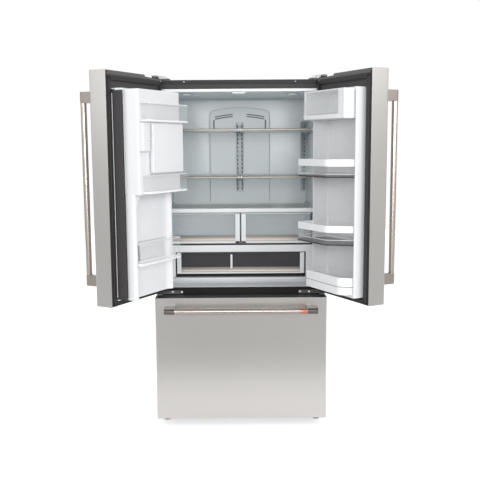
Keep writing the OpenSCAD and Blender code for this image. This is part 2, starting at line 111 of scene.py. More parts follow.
class Field:
    """A value that varies over a surface, written as Python arithmetic."""

    def __init__(self, tree: bpy.types.NodeTree, socket: bpy.types.NodeSocket) -> None:
        """Wraps one output socket.

        Args:
            tree: The node tree that the socket is in.
            socket: The output socket.
        """
        self.tree = tree
        self.socket = socket

    def _math(self, operation: str, first: Number, second: Number) -> "Field":
        """Adds one Math node and returns its result."""
        node = self.tree.nodes.new("ShaderNodeMath")
        node.operation = operation
        for slot, value in zip(node.inputs, (first, second)):
            if isinstance(value, Field):
                self.tree.links.new(value.socket, slot)
            else:
                slot.default_value = value
        return Field(self.tree, node.outputs[0])

    def __add__(self, other: Number) -> "Field":
        """Sum."""
        return self._math("ADD", self, other)

    __radd__ = __add__

    def __sub__(self, other: Number) -> "Field":
        """Difference."""
        return self._math("SUBTRACT", self, other)

    def __rsub__(self, other: Number) -> "Field":
        """Difference, reflected."""
        return self._math("SUBTRACT", other, self)

    def __mul__(self, other: Number) -> "Field":
        """Product."""
        return self._math("MULTIPLY", self, other)

    __rmul__ = __mul__

    def __pow__(self, other: Number) -> "Field":
        """Power."""
        return self._math("POWER", self, other)

    def above(self, other: Number) -> "Field":
        """One where this is greater than the other."""
        return self._math("GREATER_THAN", self, other)


Colour = tuple[float, float, float]


class Graph:
    """A node tree in the making."""

    def __init__(self, tree: bpy.types.NodeTree) -> None:
        """Takes up a tree.

        Args:
            tree: The node tree that nodes are added to.
        """
        self.tree = tree

    def node(self, kind: str, settings: Optional[dict] = None, output: int = 0, **inputs: object) -> Field:
        """Adds any node, sets it and links it.

        Args:
            kind: The node's type.
            settings: Its properties, set first; "stops" fills a ramp.
            output: Which output to return.
            **inputs: Values or links by socket name, with _ for a space.

        Returns:
            The chosen output.
        """
        node = self.tree.nodes.new(kind)
        for key, value in (settings or {}).items():
            if key == "stops":
                ends = (node.color_ramp.elements[0], node.color_ramp.elements[1])
                for stop, (place, colour) in zip(ends, value):
                    stop.position = place
                    stop.color = (*colour, 1.0)
            else:
                setattr(node, key, value)
        for key, value in inputs.items():
            socket = node.inputs[key.replace("_", " ")]
            if isinstance(value, Field):
                self.tree.links.new(value.socket, socket)
            elif isinstance(value, bpy.types.NodeSocket):
                self.tree.links.new(value, socket)
            else:
                socket.default_value = value
        return Field(self.tree, node.outputs[output])

    def step(self, value: Field, start: float, end: float, low: float, high: float) -> Field:
        """A smooth rise from low to high as a value goes from start to end."""
        settings = {"interpolation_type": "SMOOTHSTEP"}
        return self.node(
            "ShaderNodeMapRange", settings, 0, Value=value,
            From_Min=start, From_Max=end, To_Min=low, To_Max=high
        )


class Surface(Graph):
    """A node material in the making, round one Principled shader."""

    def __init__(self, name: str) -> None:
        """Starts an empty material.

        Args:
            name: The material's name.
        """
        self.material = bpy.data.materials.new(name)
        self.material.use_nodes = True
        super().__init__(self.material.node_tree)
        self.shader = self.tree.nodes["Principled BSDF"]
        self.position = self.tree.nodes.new("ShaderNodeTexCoord").outputs["Object"]

    def noise(self, stretch: Point, scale: float, detail: float = 2.0, rough: float = 0.5) -> Field:
        """Noise on Object coordinates, stretched along the axes.

        Args:
            stretch: How much each axis is scaled before the noise.
            scale: Noise cells per metre along an axis of stretch 1.
            detail: Octaves.
            rough: How strong the finer octaves are.

        Returns:
            The noise, from 0 to 1.
        """
        spread = self.node("ShaderNodeMapping", None, 0, Vector=self.position, Scale=tuple(stretch))
        return self.node(
            "ShaderNodeTexNoise", None, 0, Vector=spread, Scale=scale, Detail=detail, Roughness=rough
        )

    def blend(self, low: Colour, high: Colour, factor: Field) -> Field:
        """A colour between two others, by a factor."""
        settings = {"data_type": "RGBA"}
        node = self.node("ShaderNodeMix", settings, 2)
        mix = self.tree.nodes[-1]
        self.tree.links.new(factor.socket, mix.inputs[0])
        mix.inputs[6].default_value = (*low, 1.0)
        mix.inputs[7].default_value = (*high, 1.0)
        return node

    def bump(self, height: Field, depth: float, strength: float = 1.0) -> Field:
        """A Bump node's normal, from a height and its depth in millimetres."""
        return self.node(
            "ShaderNodeBump", None, 0, Height=height, Distance=depth * MILLIMETRE, Strength=strength
        )

    def dress(self, **inputs: object) -> bpy.types.Material:
        """Sets the shader's sockets by name and returns the material."""
        for key, value in inputs.items():
            socket = self.shader.inputs[key.replace("_", " ")]
            if isinstance(value, Field):
                self.tree.links.new(value.socket, socket)
            elif isinstance(value, tuple) and len(value) == 3:
                socket.default_value = (*value, 1.0)
            else:
                socket.default_value = value
        return self.material


def shade(colour: Colour, factor: float) -> Colour:
    """A colour made darker or lighter by a factor."""
    return tuple(min(1.0, channel * factor) for channel in colour)


class Grain(Enum):
    """Which way a brushed metal was brushed."""

    LEVEL = (0.5, 0.5, 30.0)
    UPRIGHT = (30.0, 30.0, 0.5)


@dataclass(frozen=True)
class Finish:
    """A finish by name; each kind makes its own material once."""

    name: str
    colour: Colour

    def material(self) -> bpy.types.Material:
        """The finish's material, made on first use."""
        found = bpy.data.materials.get(self.name)
        return found or self.make(Surface(self.name))

    def make(self, surface: Surface) -> bpy.types.Material:
        """Fills the surface's nodes."""
        raise NotImplementedError


@dataclass(frozen=True)
class BrushedMetal(Finish):
    """Metal with fine brushed lines, slight clouding and worn shine."""

    grain: Grain = Grain.LEVEL
    roughness: float = 0.3
    depth: float = 0.012
    contrast: float = 0.05

    def make(self, surface: Surface) -> bpy.types.Material:
        """Brush lines in colour, roughness and height, and a broad cloud."""
        lines = surface.noise(self.grain.value, 40.0, 5.0, 0.7)
        cloud = surface.noise((1.0, 1.0, 0.6), 2.2, 2.0)
        low, high = shade(self.colour, 1.0 - self.contrast), shade(self.colour, 1.0 + self.contrast)
        tone = surface.blend(low, high, lines * 0.6 + cloud * 0.4)
        rough = lines * (self.contrast * 1.6) + cloud * 0.04 + (self.roughness - self.contrast * 0.8 - 0.02)
        return surface.dress(
            Base_Color=tone, Metallic=1.0, Roughness=rough, Normal=surface.bump(lines, self.depth, 0.35)
        )


@dataclass(frozen=True)
class Moulded(Finish):
    """Moulded plastic with a fine spark-eroded grain."""

    roughness: float = 0.35
    grain_size: float = 0.8
    depth: float = 0.03
    coat: float = 0.0
    drift: float = 0.03
    gloss: float = 0.5

    def make(self, surface: Surface) -> bpy.types.Material:
        """Fine grain in height and roughness, broad drift in colour."""
        grain = surface.noise((1.0, 1.0, 1.0), 1000.0 / self.grain_size, 2.0)
        drift = surface.noise((1.0, 1.0, 1.0), 5.0, 3.0)
        tone = surface.blend(
            shade(self.colour, 1.0 - self.drift), shade(self.colour, 1.0 + self.drift), drift
        )
        rough = grain * 0.08 + drift * 0.06 + (self.roughness - 0.07)
        return surface.dress(
            Base_Color=tone,
            Roughness=rough,
            Coat_Weight=self.coat,
            Coat_Roughness=0.12,
            Specular_IOR_Level=self.gloss,
            Normal=surface.bump(grain, self.depth, 0.3),
        )


@dataclass(frozen=True)
class ClearPlastic(Finish):
    """Clear or tinted plastic, a little cloudy along its flow lines."""

    alpha: float = 0.3
    roughness: float = 0.12

    def make(self, surface: Surface) -> bpy.types.Material:
        """Flow lines in alpha and roughness."""
        flow = surface.noise((1.0, 1.0, 0.2), 30.0, 2.0)
        streak = surface.noise((2.0, 2.0, 0.6), 6.0, 1.0)
        alpha = flow * 0.02 + streak * 0.03 + (self.alpha - 0.025)
        tone = surface.blend(shade(self.colour, 0.96), shade(self.colour, 1.04), streak)
        return surface.dress(
            Base_Color=tone, Alpha=alpha,
            Roughness=flow * 0.08 + (self.roughness - 0.04), Specular_IOR_Level=0.4
        )


@dataclass(frozen=True)
class Glass(Finish):
    """Toughened shelf glass, with faint smears in its gloss."""

    alpha: float = 0.16

    def make(self, surface: Surface) -> bpy.types.Material:
        """Smears in roughness and a trace in alpha."""
        smear = surface.noise((1.0, 1.0, 1.0), 14.0, 4.0, 0.6)
        tone = surface.blend(shade(self.colour, 0.97), shade(self.colour, 1.03), smear)
        return surface.dress(
            Base_Color=tone, Alpha=smear * 0.03 + self.alpha, Roughness=smear * 0.06 + 0.03, IOR=1.52
        )


@dataclass(frozen=True)
class SheetPaint(Finish):
    """Powder-coated steel with a fine orange-peel skin."""

    roughness: float = 0.42
    metallic: float = 0.0

    def make(self, surface: Surface) -> bpy.types.Material:
        """Orange peel in height, slow drift in colour and shine."""
        peel = surface.noise((1.0, 1.0, 1.0), 420.0, 1.0)
        drift = surface.noise((1.0, 1.0, 0.7), 3.0, 3.0)
        tone = surface.blend(shade(self.colour, 0.95), shade(self.colour, 1.05), drift)
        return surface.dress(
            Base_Color=tone,
            Metallic=self.metallic,
            Roughness=drift * 0.08 + (self.roughness - 0.04),
            Normal=surface.bump(peel, 0.05, 0.25),
        )


@dataclass(frozen=True)
class Rubber(Finish):
    """Matt soft rubber or vinyl with a dusty bloom."""

    def make(self, surface: Surface) -> bpy.types.Material:
        """A bloom that lightens and dulls."""
        bloom = surface.noise((1.0, 1.0, 1.0), 60.0, 4.0, 0.6)
        tone = surface.blend(shade(self.colour, 0.85), shade(self.colour, 1.2), bloom)
        return surface.dress(
            Base_Color=tone, Roughness=bloom * 0.15 + 0.5, Normal=surface.bump(bloom, 0.05, 0.3)
        )


@dataclass(frozen=True)
class Lamp(Finish):
    """A diffusing lens that is lit from behind."""

    glow: float = 1.2

    def make(self, surface: Surface) -> bpy.types.Material:
        """An even glow with a faint prismatic pattern."""
        prism = surface.noise((1.0, 1.0, 1.0), 300.0, 1.0)
        tone = surface.blend(shade(self.colour, 0.9), self.colour, prism)
        return surface.dress(
            Base_Color=tone, Roughness=prism * 0.1 + 0.2, Emission_Color=tone, Emission_Strength=self.glow
        )


STAINLESS = BrushedMetal("brushed_stainless", (0.52, 0.505, 0.49))
HANDLE_BRONZE = BrushedMetal("brushed_bronze", (0.36, 0.325, 0.298), Grain.LEVEL, 0.26, 0.003, 0.03)
# The door handles' bronze is the drawer handle's bronze painted lighter: painted light. Its grain runs upright.
HANDLE_BRONZE_UPRIGHT_LIT = BrushedMetal(
    "brushed_bronze_upright_lit", (0.50, 0.45, 0.41), Grain.UPRIGHT, 0.26, 0.002, 0.02
)
BRACKET_TAUPE = BrushedMetal("taupe_bracket", (0.36, 0.32, 0.295), Grain.LEVEL, 0.36)
# The drawer handle's brackets: the door brackets' taupe painted darker, as painted shade.
BRACKET_SHADED = BrushedMetal("shaded_bracket", (0.13, 0.115, 0.105), Grain.LEVEL, 0.4)
COPPER = BrushedMetal("copper_band", (0.47, 0.20, 0.125), Grain.LEVEL, 0.3)
TRIM_BRONZE = BrushedMetal("anodised_trim", (0.262, 0.245, 0.222), Grain.LEVEL, 0.42)
SLIDE_STEEL = BrushedMetal("zinc_plated_slide", (0.55, 0.57, 0.58), Grain.LEVEL, 0.32)
SCREW_STEEL = BrushedMetal("plated_screw", (0.70, 0.70, 0.68), Grain.LEVEL, 0.25)
FIN_ALUMINIUM = BrushedMetal("fin_aluminium", (0.62, 0.64, 0.65), Grain.UPRIGHT, 0.38)
FRAME_GREY = Moulded("frame_grey", (0.052, 0.051, 0.052), 0.45, gloss=0.3)
BAR_GREY = Moulded("bar_grey", (0.045, 0.042, 0.043), 0.42, gloss=0.25)
# Black: the front rails' own colour, and painted shade in the drawer divider's gaps and slots.
RAIL_BLACK_AND_GAP_SHADE = Moulded("rail_black_and_gap_shade", (0.008, 0.008, 0.008), 0.35, gloss=0.2)
TOP_RAIL_GREY = Moulded("top_rail_grey", (0.034, 0.032, 0.031), 0.45, gloss=0.25)
TOP_RAIL_DARK = Moulded("top_rail_dark", (0.018, 0.017, 0.017), 0.45, gloss=0.25)
COVER_GREY = Moulded("cover_grey", (0.05, 0.05, 0.05), 0.2, 0.8, 0.02, 0.5)
# The door caps' dark glossy plastic painted about three times lighter: painted sheen on the hinge caps.
CAP_GREY_WITH_SHEEN = Moulded("cap_grey_with_sheen", (0.15, 0.148, 0.143), 0.16, 0.8, 0.01, 0.8)
# Darker than the duct: painted shade along the seam round the duct cover.
SEAM_SHADE_GREY = Moulded("seam_shade_grey", (0.50, 0.55, 0.57), 0.5, gloss=0.2)
LIP_GREY = Moulded("lip_grey", (0.62, 0.63, 0.64), 0.4)
LINER_WHITE = Moulded("liner_white", (0.70, 0.71, 0.725), 0.28, 0.6, 0.01, 0.15)
ROOM_GREY = Moulded("room_liner", (0.74, 0.785, 0.81), 0.3, 0.6, 0.01, 0.2)
DUCT_GREY = Moulded("duct_grey", (0.74, 0.785, 0.81), 0.36)
# The room liner's colour darkened: painted shade on the sill under the pan.
SILL_SHADE = Moulded("sill_shade", (0.57, 0.585, 0.605), 0.34, 0.6, 0.01)
PART_WHITE = Moulded("part_white", (0.72, 0.73, 0.74), 0.3, 0.7, 0.01, 0.15)
# Painted shade: this dark grey stands where there is only shade, behind slots, vents and the ice box slit, in screw
# recesses, round the lamp lenses and in the gap under the lowest right bin.
SLOT_SHADE = Moulded("slot_shadow", (0.10, 0.11, 0.12), 0.6)
# Dark grey: the condenser fan's own plastic, and painted shade for the pan's shadowed inside.
PAN_SHADE_AND_DARK_PLASTIC = Moulded("pan_shade_and_dark_plastic", (0.036, 0.035, 0.038), 0.4, gloss=0.3)
NICHE_BLACK = Moulded("niche_black", (0.018, 0.018, 0.02), 0.22, 0.8, 0.01, 0.4)
FOOT_BLACK = Rubber("foot_black", (0.012, 0.012, 0.013))
GASKET_GREY = Rubber("gasket_grey", (0.017, 0.017, 0.018))
BIN_CLEAR = ClearPlastic("bin_clear", (0.96, 0.965, 0.97), 0.05)
BIN_FROST = ClearPlastic("bin_frost", (0.93, 0.935, 0.94), 0.75, 0.25)
BIN_RIM = ClearPlastic("bin_rim", (0.82, 0.835, 0.85), 0.5)
# A dark, nearly opaque grey for the right door bins' bases.
BIN_DARK_BASE = ClearPlastic("bin_dark_base", (0.05, 0.05, 0.053), 0.8, 0.3)
LID_CLEAR = ClearPlastic("lid_clear", (0.90, 0.925, 0.94), 0.17)
CRISPER_CLEAR = ClearPlastic("crisper_clear", (0.80, 0.86, 0.885), 0.26)
FREEZER_CLEAR = ClearPlastic("freezer_clear", (0.78, 0.81, 0.83), 0.6, 0.25)
SHELF_GLASS = Glass("shelf_glass", (0.62, 0.72, 0.70))
CABINET_PAINT = SheetPaint("cabinet_paint", (0.26, 0.262, 0.265))
BACK_ZINC = SheetPaint("back_zinc", (0.42, 0.43, 0.44), 0.45, 0.6)
CHASSIS_PAINT = SheetPaint("chassis_paint", (0.05, 0.052, 0.055), 0.5)
HINGE_GREY = SheetPaint("hinge_grey", (0.09, 0.088, 0.084), 0.36, 0.3)
HINGE_BLACK = SheetPaint("hinge_black", (0.016, 0.016, 0.017), 0.36)
LADDER_WHITE = SheetPaint("ladder_white", (0.62, 0.655, 0.675), 0.4)
LENS = Lamp("lamp_lens", (0.95, 0.97, 1.0))


# ---------------------------------------------------------------- shaping


class Axis(Enum):
    """Which way a profile is extruded, as a matrix from (u, v, along)."""

    X = Matrix(((0, 0, 1, 0), (1, 0, 0, 0), (0, 1, 0, 0), (0, 0, 0, 1)))
    Y = Matrix(((1, 0, 0, 0), (0, 0, 1, 0), (0, 1, 0, 0), (0, 0, 0, 1)))
    Z = Matrix.Identity(4)


Radius = Union[float, Sequence[float]]


class Form:
    """One piece in the making: shells shaped by operators in a local space."""

    def __init__(self) -> None:
        """Starts with nothing."""
        self.bm = bmesh.new()

    def _take(self, shell: bmesh.types.BMesh, move: Matrix, index: int = 0) -> None:
        """Adds a finished shell to the piece.

        Args:
            shell: The shell, which is used up.
            move: Its place.
            index: Which of the piece's finishes it has.
        """
        bmesh.ops.transform(shell, matrix=move, verts=shell.verts)
        bmesh.ops.recalc_face_normals(shell, faces=shell.faces)
        for face in shell.faces:
            face.material_index = index
        mesh = bpy.data.meshes.new("shell")
        shell.to_mesh(mesh)
        shell.free()
        self.bm.from_mesh(mesh)
        bpy.data.meshes.remove(mesh)

    @staticmethod
    def _soften(shell: bmesh.types.BMesh, width: float, steps: int = 2, sharper: float = 35.0) -> None:
        """Bevels every edge that turns by more than an angle."""
        if width <= 0:
            return
        limit = math.radians(sharper)
        edges = [e for e in shell.edges if len(e.link_faces) == 2 and e.calc_face_angle(0.0) > limit]
        bmesh.ops.bevel(
            shell, geom=edges, offset=width, offset_type="OFFSET", segments=steps, profile=0.5,
            affect="EDGES", clamp_overlap=True, material=-1,
        )

    @staticmethod
    def _outline(points: Iterable[Point], corner: Radius, steps: int) -> bmesh.types.BMesh:
        """A face from corner points, with each corner rounded."""
        shell = bmesh.new()
        verts = [shell.verts.new((u, v, 0.0)) for u, v in points]
        shell.faces.new(verts)
        radii = [corner] * len(verts) if isinstance(corner, (int, float)) else list(corner)
        for vert, radius in zip(verts, radii):
            if radius > 0:
                bmesh.ops.bevel(
                    shell, geom=[vert], offset=radius, offset_type="OFFSET", segments=steps, profile=0.5,
                    affect="VERTICES", clamp_overlap=False, material=-1,
                )
        return shell

    @staticmethod
    def _raise(shell: bmesh.types.BMesh, faces: list, height: float) -> list:
        """Extrudes faces along the third axis and returns the new ones."""
        grown = bmesh.ops.extrude_face_region(shell, geom=faces)["geom"]
        verts = [g for g in grown if isinstance(g, bmesh.types.BMVert)]
        bmesh.ops.translate(shell, verts=verts, vec=(0, 0, height))
        return [g for g in grown if isinstance(g, bmesh.types.BMFace)]

    def prism(
        self, points: Iterable[Point], axis: Axis, low: float, high: float,
        corner: Radius = 0.0, edge: float = 0.0, index: int = 0, steps: int = 5,
    ) -> "Form":
        """Adds an extruded outline.

        Args:
            points: The outline's corners, in the two axes across the extrusion.
            axis: The way it is extruded.
            low: Where it starts.
            high: Where it ends.
            corner: Rounding radius of the outline's corners, one or one each.
            edge: Bevel of the rims.
            index: Which finish.
            steps: Segments in a rounded corner.

        Returns:
            The form itself.
        """
        shell = self._outline(points, corner, steps)
        self._raise(shell, shell.faces[:], high - low)
        bmesh.ops.recalc_face_normals(shell, faces=shell.faces)
        self._soften(shell, edge)
        self._take(shell, axis.value @ Matrix.Translation((0, 0, low)), index)
        return self

    def block(self, low: Point, high: Point, edge: float = 1.0, index: int = 0, steps: int = 2) -> "Form":
        """Adds a block with softened edges, from two opposite corners."""
        shell = bmesh.new()
        bmesh.ops.create_cube(shell, size=1.0)
        low, high = Vector(low), Vector(high)
        size = high - low
        bmesh.ops.transform(
            shell, matrix=Matrix.Translation((low + high) / 2) @ Matrix.Diagonal((*size, 1.0)),
            verts=shell.verts
        )
        self._soften(shell, min(edge, min(size) * 0.45), steps)
        self._take(shell, Matrix.Identity(4), index)
        return self

    def tray(
        self, points: Iterable[Point], axis: Axis, low: float, high: float, wall: float,
        corner: Radius = 6.0, edge: float = 0.8, draft: float = 1.0,
        index: int = 0, floor: Optional[float] = None,
    ) -> "Form":
        """Adds a hollow that is open at its high end.

        Args:
            points: The outline's corners.
            axis: The way that it opens.
            low: Where its floor is.
            high: Where its rim is.
            wall: The wall's thickness.
            corner: Rounding radius of the corners.
            edge: Bevel of the rims.
            draft: Size of the floor against the rim.
            index: Which finish.
            floor: Thickness of the floor, or the wall's.

        Returns:
            The form itself.
        """
        shell = self._outline(points, corner, 5)
        top = self._raise(shell, shell.faces[:], high - low)
        bmesh.ops.recalc_face_normals(shell, faces=shell.faces)
        bmesh.ops.inset_region(shell, faces=top, thickness=wall, use_even_offset=True, use_boundary=True)
        self._raise(shell, top, -(high - low - (floor or wall)))
        middle = sum((v.co for v in shell.verts), Vector()) / len(shell.verts)
        for vert in shell.verts:
            share = 1.0 - vert.co.z / (high - low)
            scale = 1.0 - (1.0 - draft) * share
            vert.co.x = middle.x + (vert.co.x - middle.x) * scale
            vert.co.y = middle.y + (vert.co.y - middle.y) * scale
        bmesh.ops.recalc_face_normals(shell, faces=shell.faces)
        self._soften(shell, edge, 2, 50.0)
        self._take(shell, axis.value @ Matrix.Translation((0, 0, low)), index)
        return self

    def ring(
        self, points: Iterable[Point], axis: Axis, low: float, high: float, width: float,
        corner: Radius = 4.0, edge: float = 1.0, index: int = 0, steps: int = 5,
    ) -> "Form":
        """Adds a closed band: an outline with a hole that is width inside it."""
        shell = self._outline(points, corner, steps)
        face = shell.faces[:][0]
        bmesh.ops.inset_region(shell, faces=[face], thickness=width, use_even_offset=True, use_boundary=True)
        bmesh.ops.delete(shell, geom=[face], context="FACES")
        self._raise(shell, shell.faces[:], high - low)
        bmesh.ops.recalc_face_normals(shell, faces=shell.faces)
        self._soften(shell, edge, 3, 50.0)
        self._take(shell, axis.value @ Matrix.Translation((0, 0, low)), index)
        return self

    def rod(
        self, start: Point, end: Point, radius: float, edge: float = 1.0, index: int = 0, sides: int = 40,
        tip: Optional[float] = None,
    ) -> "Form":
        """Adds a round rod between two points, or a cone if it has a tip radius."""
        shell = bmesh.new()
        start, end = Vector(start), Vector(end)
        bmesh.ops.create_cone(
            shell, cap_ends=True, segments=sides, radius1=radius, radius2=radius if tip is None else tip,
            depth=(end - start).length,
        )
        self._soften(shell, edge, 3, 50.0)
        turn = (end - start).to_track_quat("Z", "Y").to_matrix().to_4x4()
        self._take(shell, Matrix.Translation((start + end) / 2) @ turn, index)
        return self

    def lathe(self, profile: Iterable[Point], move: Matrix, index: int = 0, sides: int = 40) -> "Form":
        """Adds a turned shape from (radius, height) points, placed by a matrix."""
        shell = bmesh.new()
        verts = [shell.verts.new((r, 0.0, z)) for r, z in profile]
        edges = [shell.edges.new(pair) for pair in zip(verts, verts[1:])]
        bmesh.ops.spin(
            shell, geom=verts + edges, cent=(0, 0, 0),
            axis=(0, 0, 1), angle=2 * math.pi, steps=sides, use_merge=True
        )
        bmesh.ops.remove_doubles(shell, verts=shell.verts, dist=0.001)
        self._take(shell, move, index)
        return self

    def copy_of(self, node: str, to_local: Matrix, edge: float, index: int = 0, steps: int = 2) -> "Form":
        """Adds a copy of a CAD node, merged and with its edges softened.

        Args:
            node: The CAD node.
            to_local: The matrix from the row's frame to this form's space.
            edge: Bevel width.
            index: Which finish.
            steps: Bevel segments.

        Returns:
            The form itself.
        """
        shell = bmesh.new()
        shell.from_mesh(bpy.data.objects[node].data)
        bmesh.ops.transform(shell, matrix=to_local, verts=shell.verts)
        bmesh.ops.remove_doubles(shell, verts=shell.verts, dist=0.02)
        bmesh.ops.dissolve_limit(
            shell, angle_limit=math.radians(1.0), verts=shell.verts, edges=shell.edges
        )
        self._soften(shell, edge, steps, 40.0)
        self._take(shell, Matrix.Identity(4), index)
        return self

    def screw(self, centre: Point, axis: Vector, radius: float, height: float, index: int = 0) -> "Form":
        """Adds a domed screw head with a cross of painted shade for its recess, seen along its axis."""
        turn = Vector(axis).to_track_quat("Z", "Y").to_matrix().to_4x4()
        move = Matrix.Translation(Vector(centre)) @ turn
        slot = radius * 0.16
        dome = [(radius, 0.0), (radius, height * 0.35),
        (radius * 0.85, height * 0.75), (radius * 0.55, height),
                (slot * 2.6, height), (slot * 1.1, height * 0.45), (0.0, height * 0.4)]
        self.lathe(dome, move, index, 28)
        # The cross is a flat mark on the dome in the next finish: painted shade for the recess.
        for swap in (False, True):
            reach = (radius * 0.52, slot * 0.55)
            half = Vector((*(reach[::-1] if swap else reach), 0.06))
            bar = bmesh.new()
            bmesh.ops.create_cube(bar, size=2.0)
            bmesh.ops.transform(
                bar,
                matrix=Matrix.Translation((0, 0, height)) @ Matrix.Diagonal((*half, 1.0)), verts=bar.verts
            )
            self._take(bar, move, index + 1)
        return self


@dataclass
class Place:
    """A local space: millimetres in it, and the row's frame in metres."""

    to_row: Matrix

    def __post_init__(self) -> None:
        """Works out the way back."""
        self.to_local = self.to_row.inverted()

    def box(self, node: str) -> tuple[Vector, Vector]:
        """The lowest and highest corners of a CAD node in this space."""
        spots = [self.to_local @ v.co for v in bpy.data.objects[node].data.vertices]
        low = Vector(min(s[k] for s in spots) for k in range(3))
        high = Vector(max(s[k] for s in spots) for k in range(3))
        return low, high


@dataclass
class Workshop:
    """Turns forms into pieces that ride on a body of the frame."""

    place: Place
    body: str

    def _object(self, form: Form, name: str) -> bpy.types.Object:
        """Makes a form an object in the row's frame."""
        bmesh.ops.transform(form.bm, matrix=self.place.to_row, verts=form.bm.verts)
        if self.place.to_row.determinant() < 0:
            bmesh.ops.reverse_faces(form.bm, faces=form.bm.faces)
        mesh = bpy.data.meshes.new(name)
        form.bm.to_mesh(mesh)
        form.bm.free()
        thing = bpy.data.objects.new(name, mesh)
        bpy.context.scene.collection.objects.link(thing)
        return thing

    def _carve(self, thing: bpy.types.Object, cutter: Form) -> None:
        """Cuts a form out of an object and keeps the result as its mesh."""
        tool = self._object(cutter, "cutter")
        step = thing.modifiers.new("carve", "BOOLEAN")
        step.operation = "DIFFERENCE"
        step.solver = "EXACT"
        step.object = tool
        seen = thing.evaluated_get(bpy.context.evaluated_depsgraph_get())
        carved = bpy.data.meshes.new_from_object(seen)
        thing.modifiers.clear()
        old = thing.data
        thing.data = carved
        bpy.data.meshes.remove(old)
        bpy.data.objects.remove(tool)

    def piece(
        self, form: Form, name: str, finishes: Union[Finish, Sequence[Finish]],
        replaces: Sequence[str] = (), cutters: Sequence[Form] = (), edge: float = 0.0,
    ) -> bpy.types.Object:
        """Finishes a form as a named piece.

        Args:
            form: The form, which is used up.
            name: The piece's name.
            finishes: Its finish, or one for each index.
            replaces: CAD nodes that it stands for.
            cutters: Forms to cut out of it.
            edge: Bevel added after the cut, in millimetres.

        Returns:
            The piece.
        """
        thing = self._object(form, name)
        for cutter in cutters:
            self._carve(thing, cutter)
        for finish in [finishes] if isinstance(finishes, Finish) else finishes:
            thing.data.materials.append(finish.material())
        if edge:
            bevel = thing.modifiers.new("edges", "BEVEL")
            bevel.width = edge * MILLIMETRE
            bevel.segments = 2
            bevel.limit_method = "ANGLE"
            bevel.angle_limit = math.radians(40.0)
        thing.data.shade_smooth()
        thing.data.set_sharp_from_angle(angle=math.radians(50.0))
        weigh = thing.modifiers.new("normals", "WEIGHTED_NORMAL")
        weigh.keep_sharp = True
        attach(thing, self.body)
        if replaces:
            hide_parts(*replaces)
        LOG.info("%s: %d faces on %s", name, len(thing.data.polygons), self.body)
        return thing

    def soften(self, node: str, finish: Finish, edge: float = 0.6, steps: int = 2) -> bpy.types.Object:
        """Stands a copy with softened edges in for a CAD node."""
        form = Form().copy_of(node, self.place.to_local, edge, 0, steps)
        return self.piece(form, f"{node}_finished", finish, [node])


def rectangle(low_u: float, low_v: float, high_u: float, high_v: float) -> list[Point]:
    """The four corners of a rectangle."""
    return [(low_u, low_v), (high_u, low_v), (high_u, high_v), (low_u, high_v)]


def arc(centre: Point, radius: float, start: float, end: float, steps: int) -> list[Point]:
    """Points along an arc, with its angles in degrees."""
    turns = [math.radians(start + (end - start) * k / steps) for k in range(steps + 1)]
    return [(centre[0] + radius * math.cos(t), centre[1] + radius * math.sin(t)) for t in turns]


def mirrored(points: Iterable[Point]) -> list[Point]:
    """Outline points on the other side of u = 0."""
    return [(-u, v) for u, v in points]


# ---------------------------------------------------------------- assemblies


@dataclass
class Assembly:
    """A sub-assembly that is built in one local space."""

    frame: dict
    place: Place

    def shop(self, body: str) -> Workshop:
        """A workshop for pieces of this assembly on one body."""
        return Workshop(self.place, body)


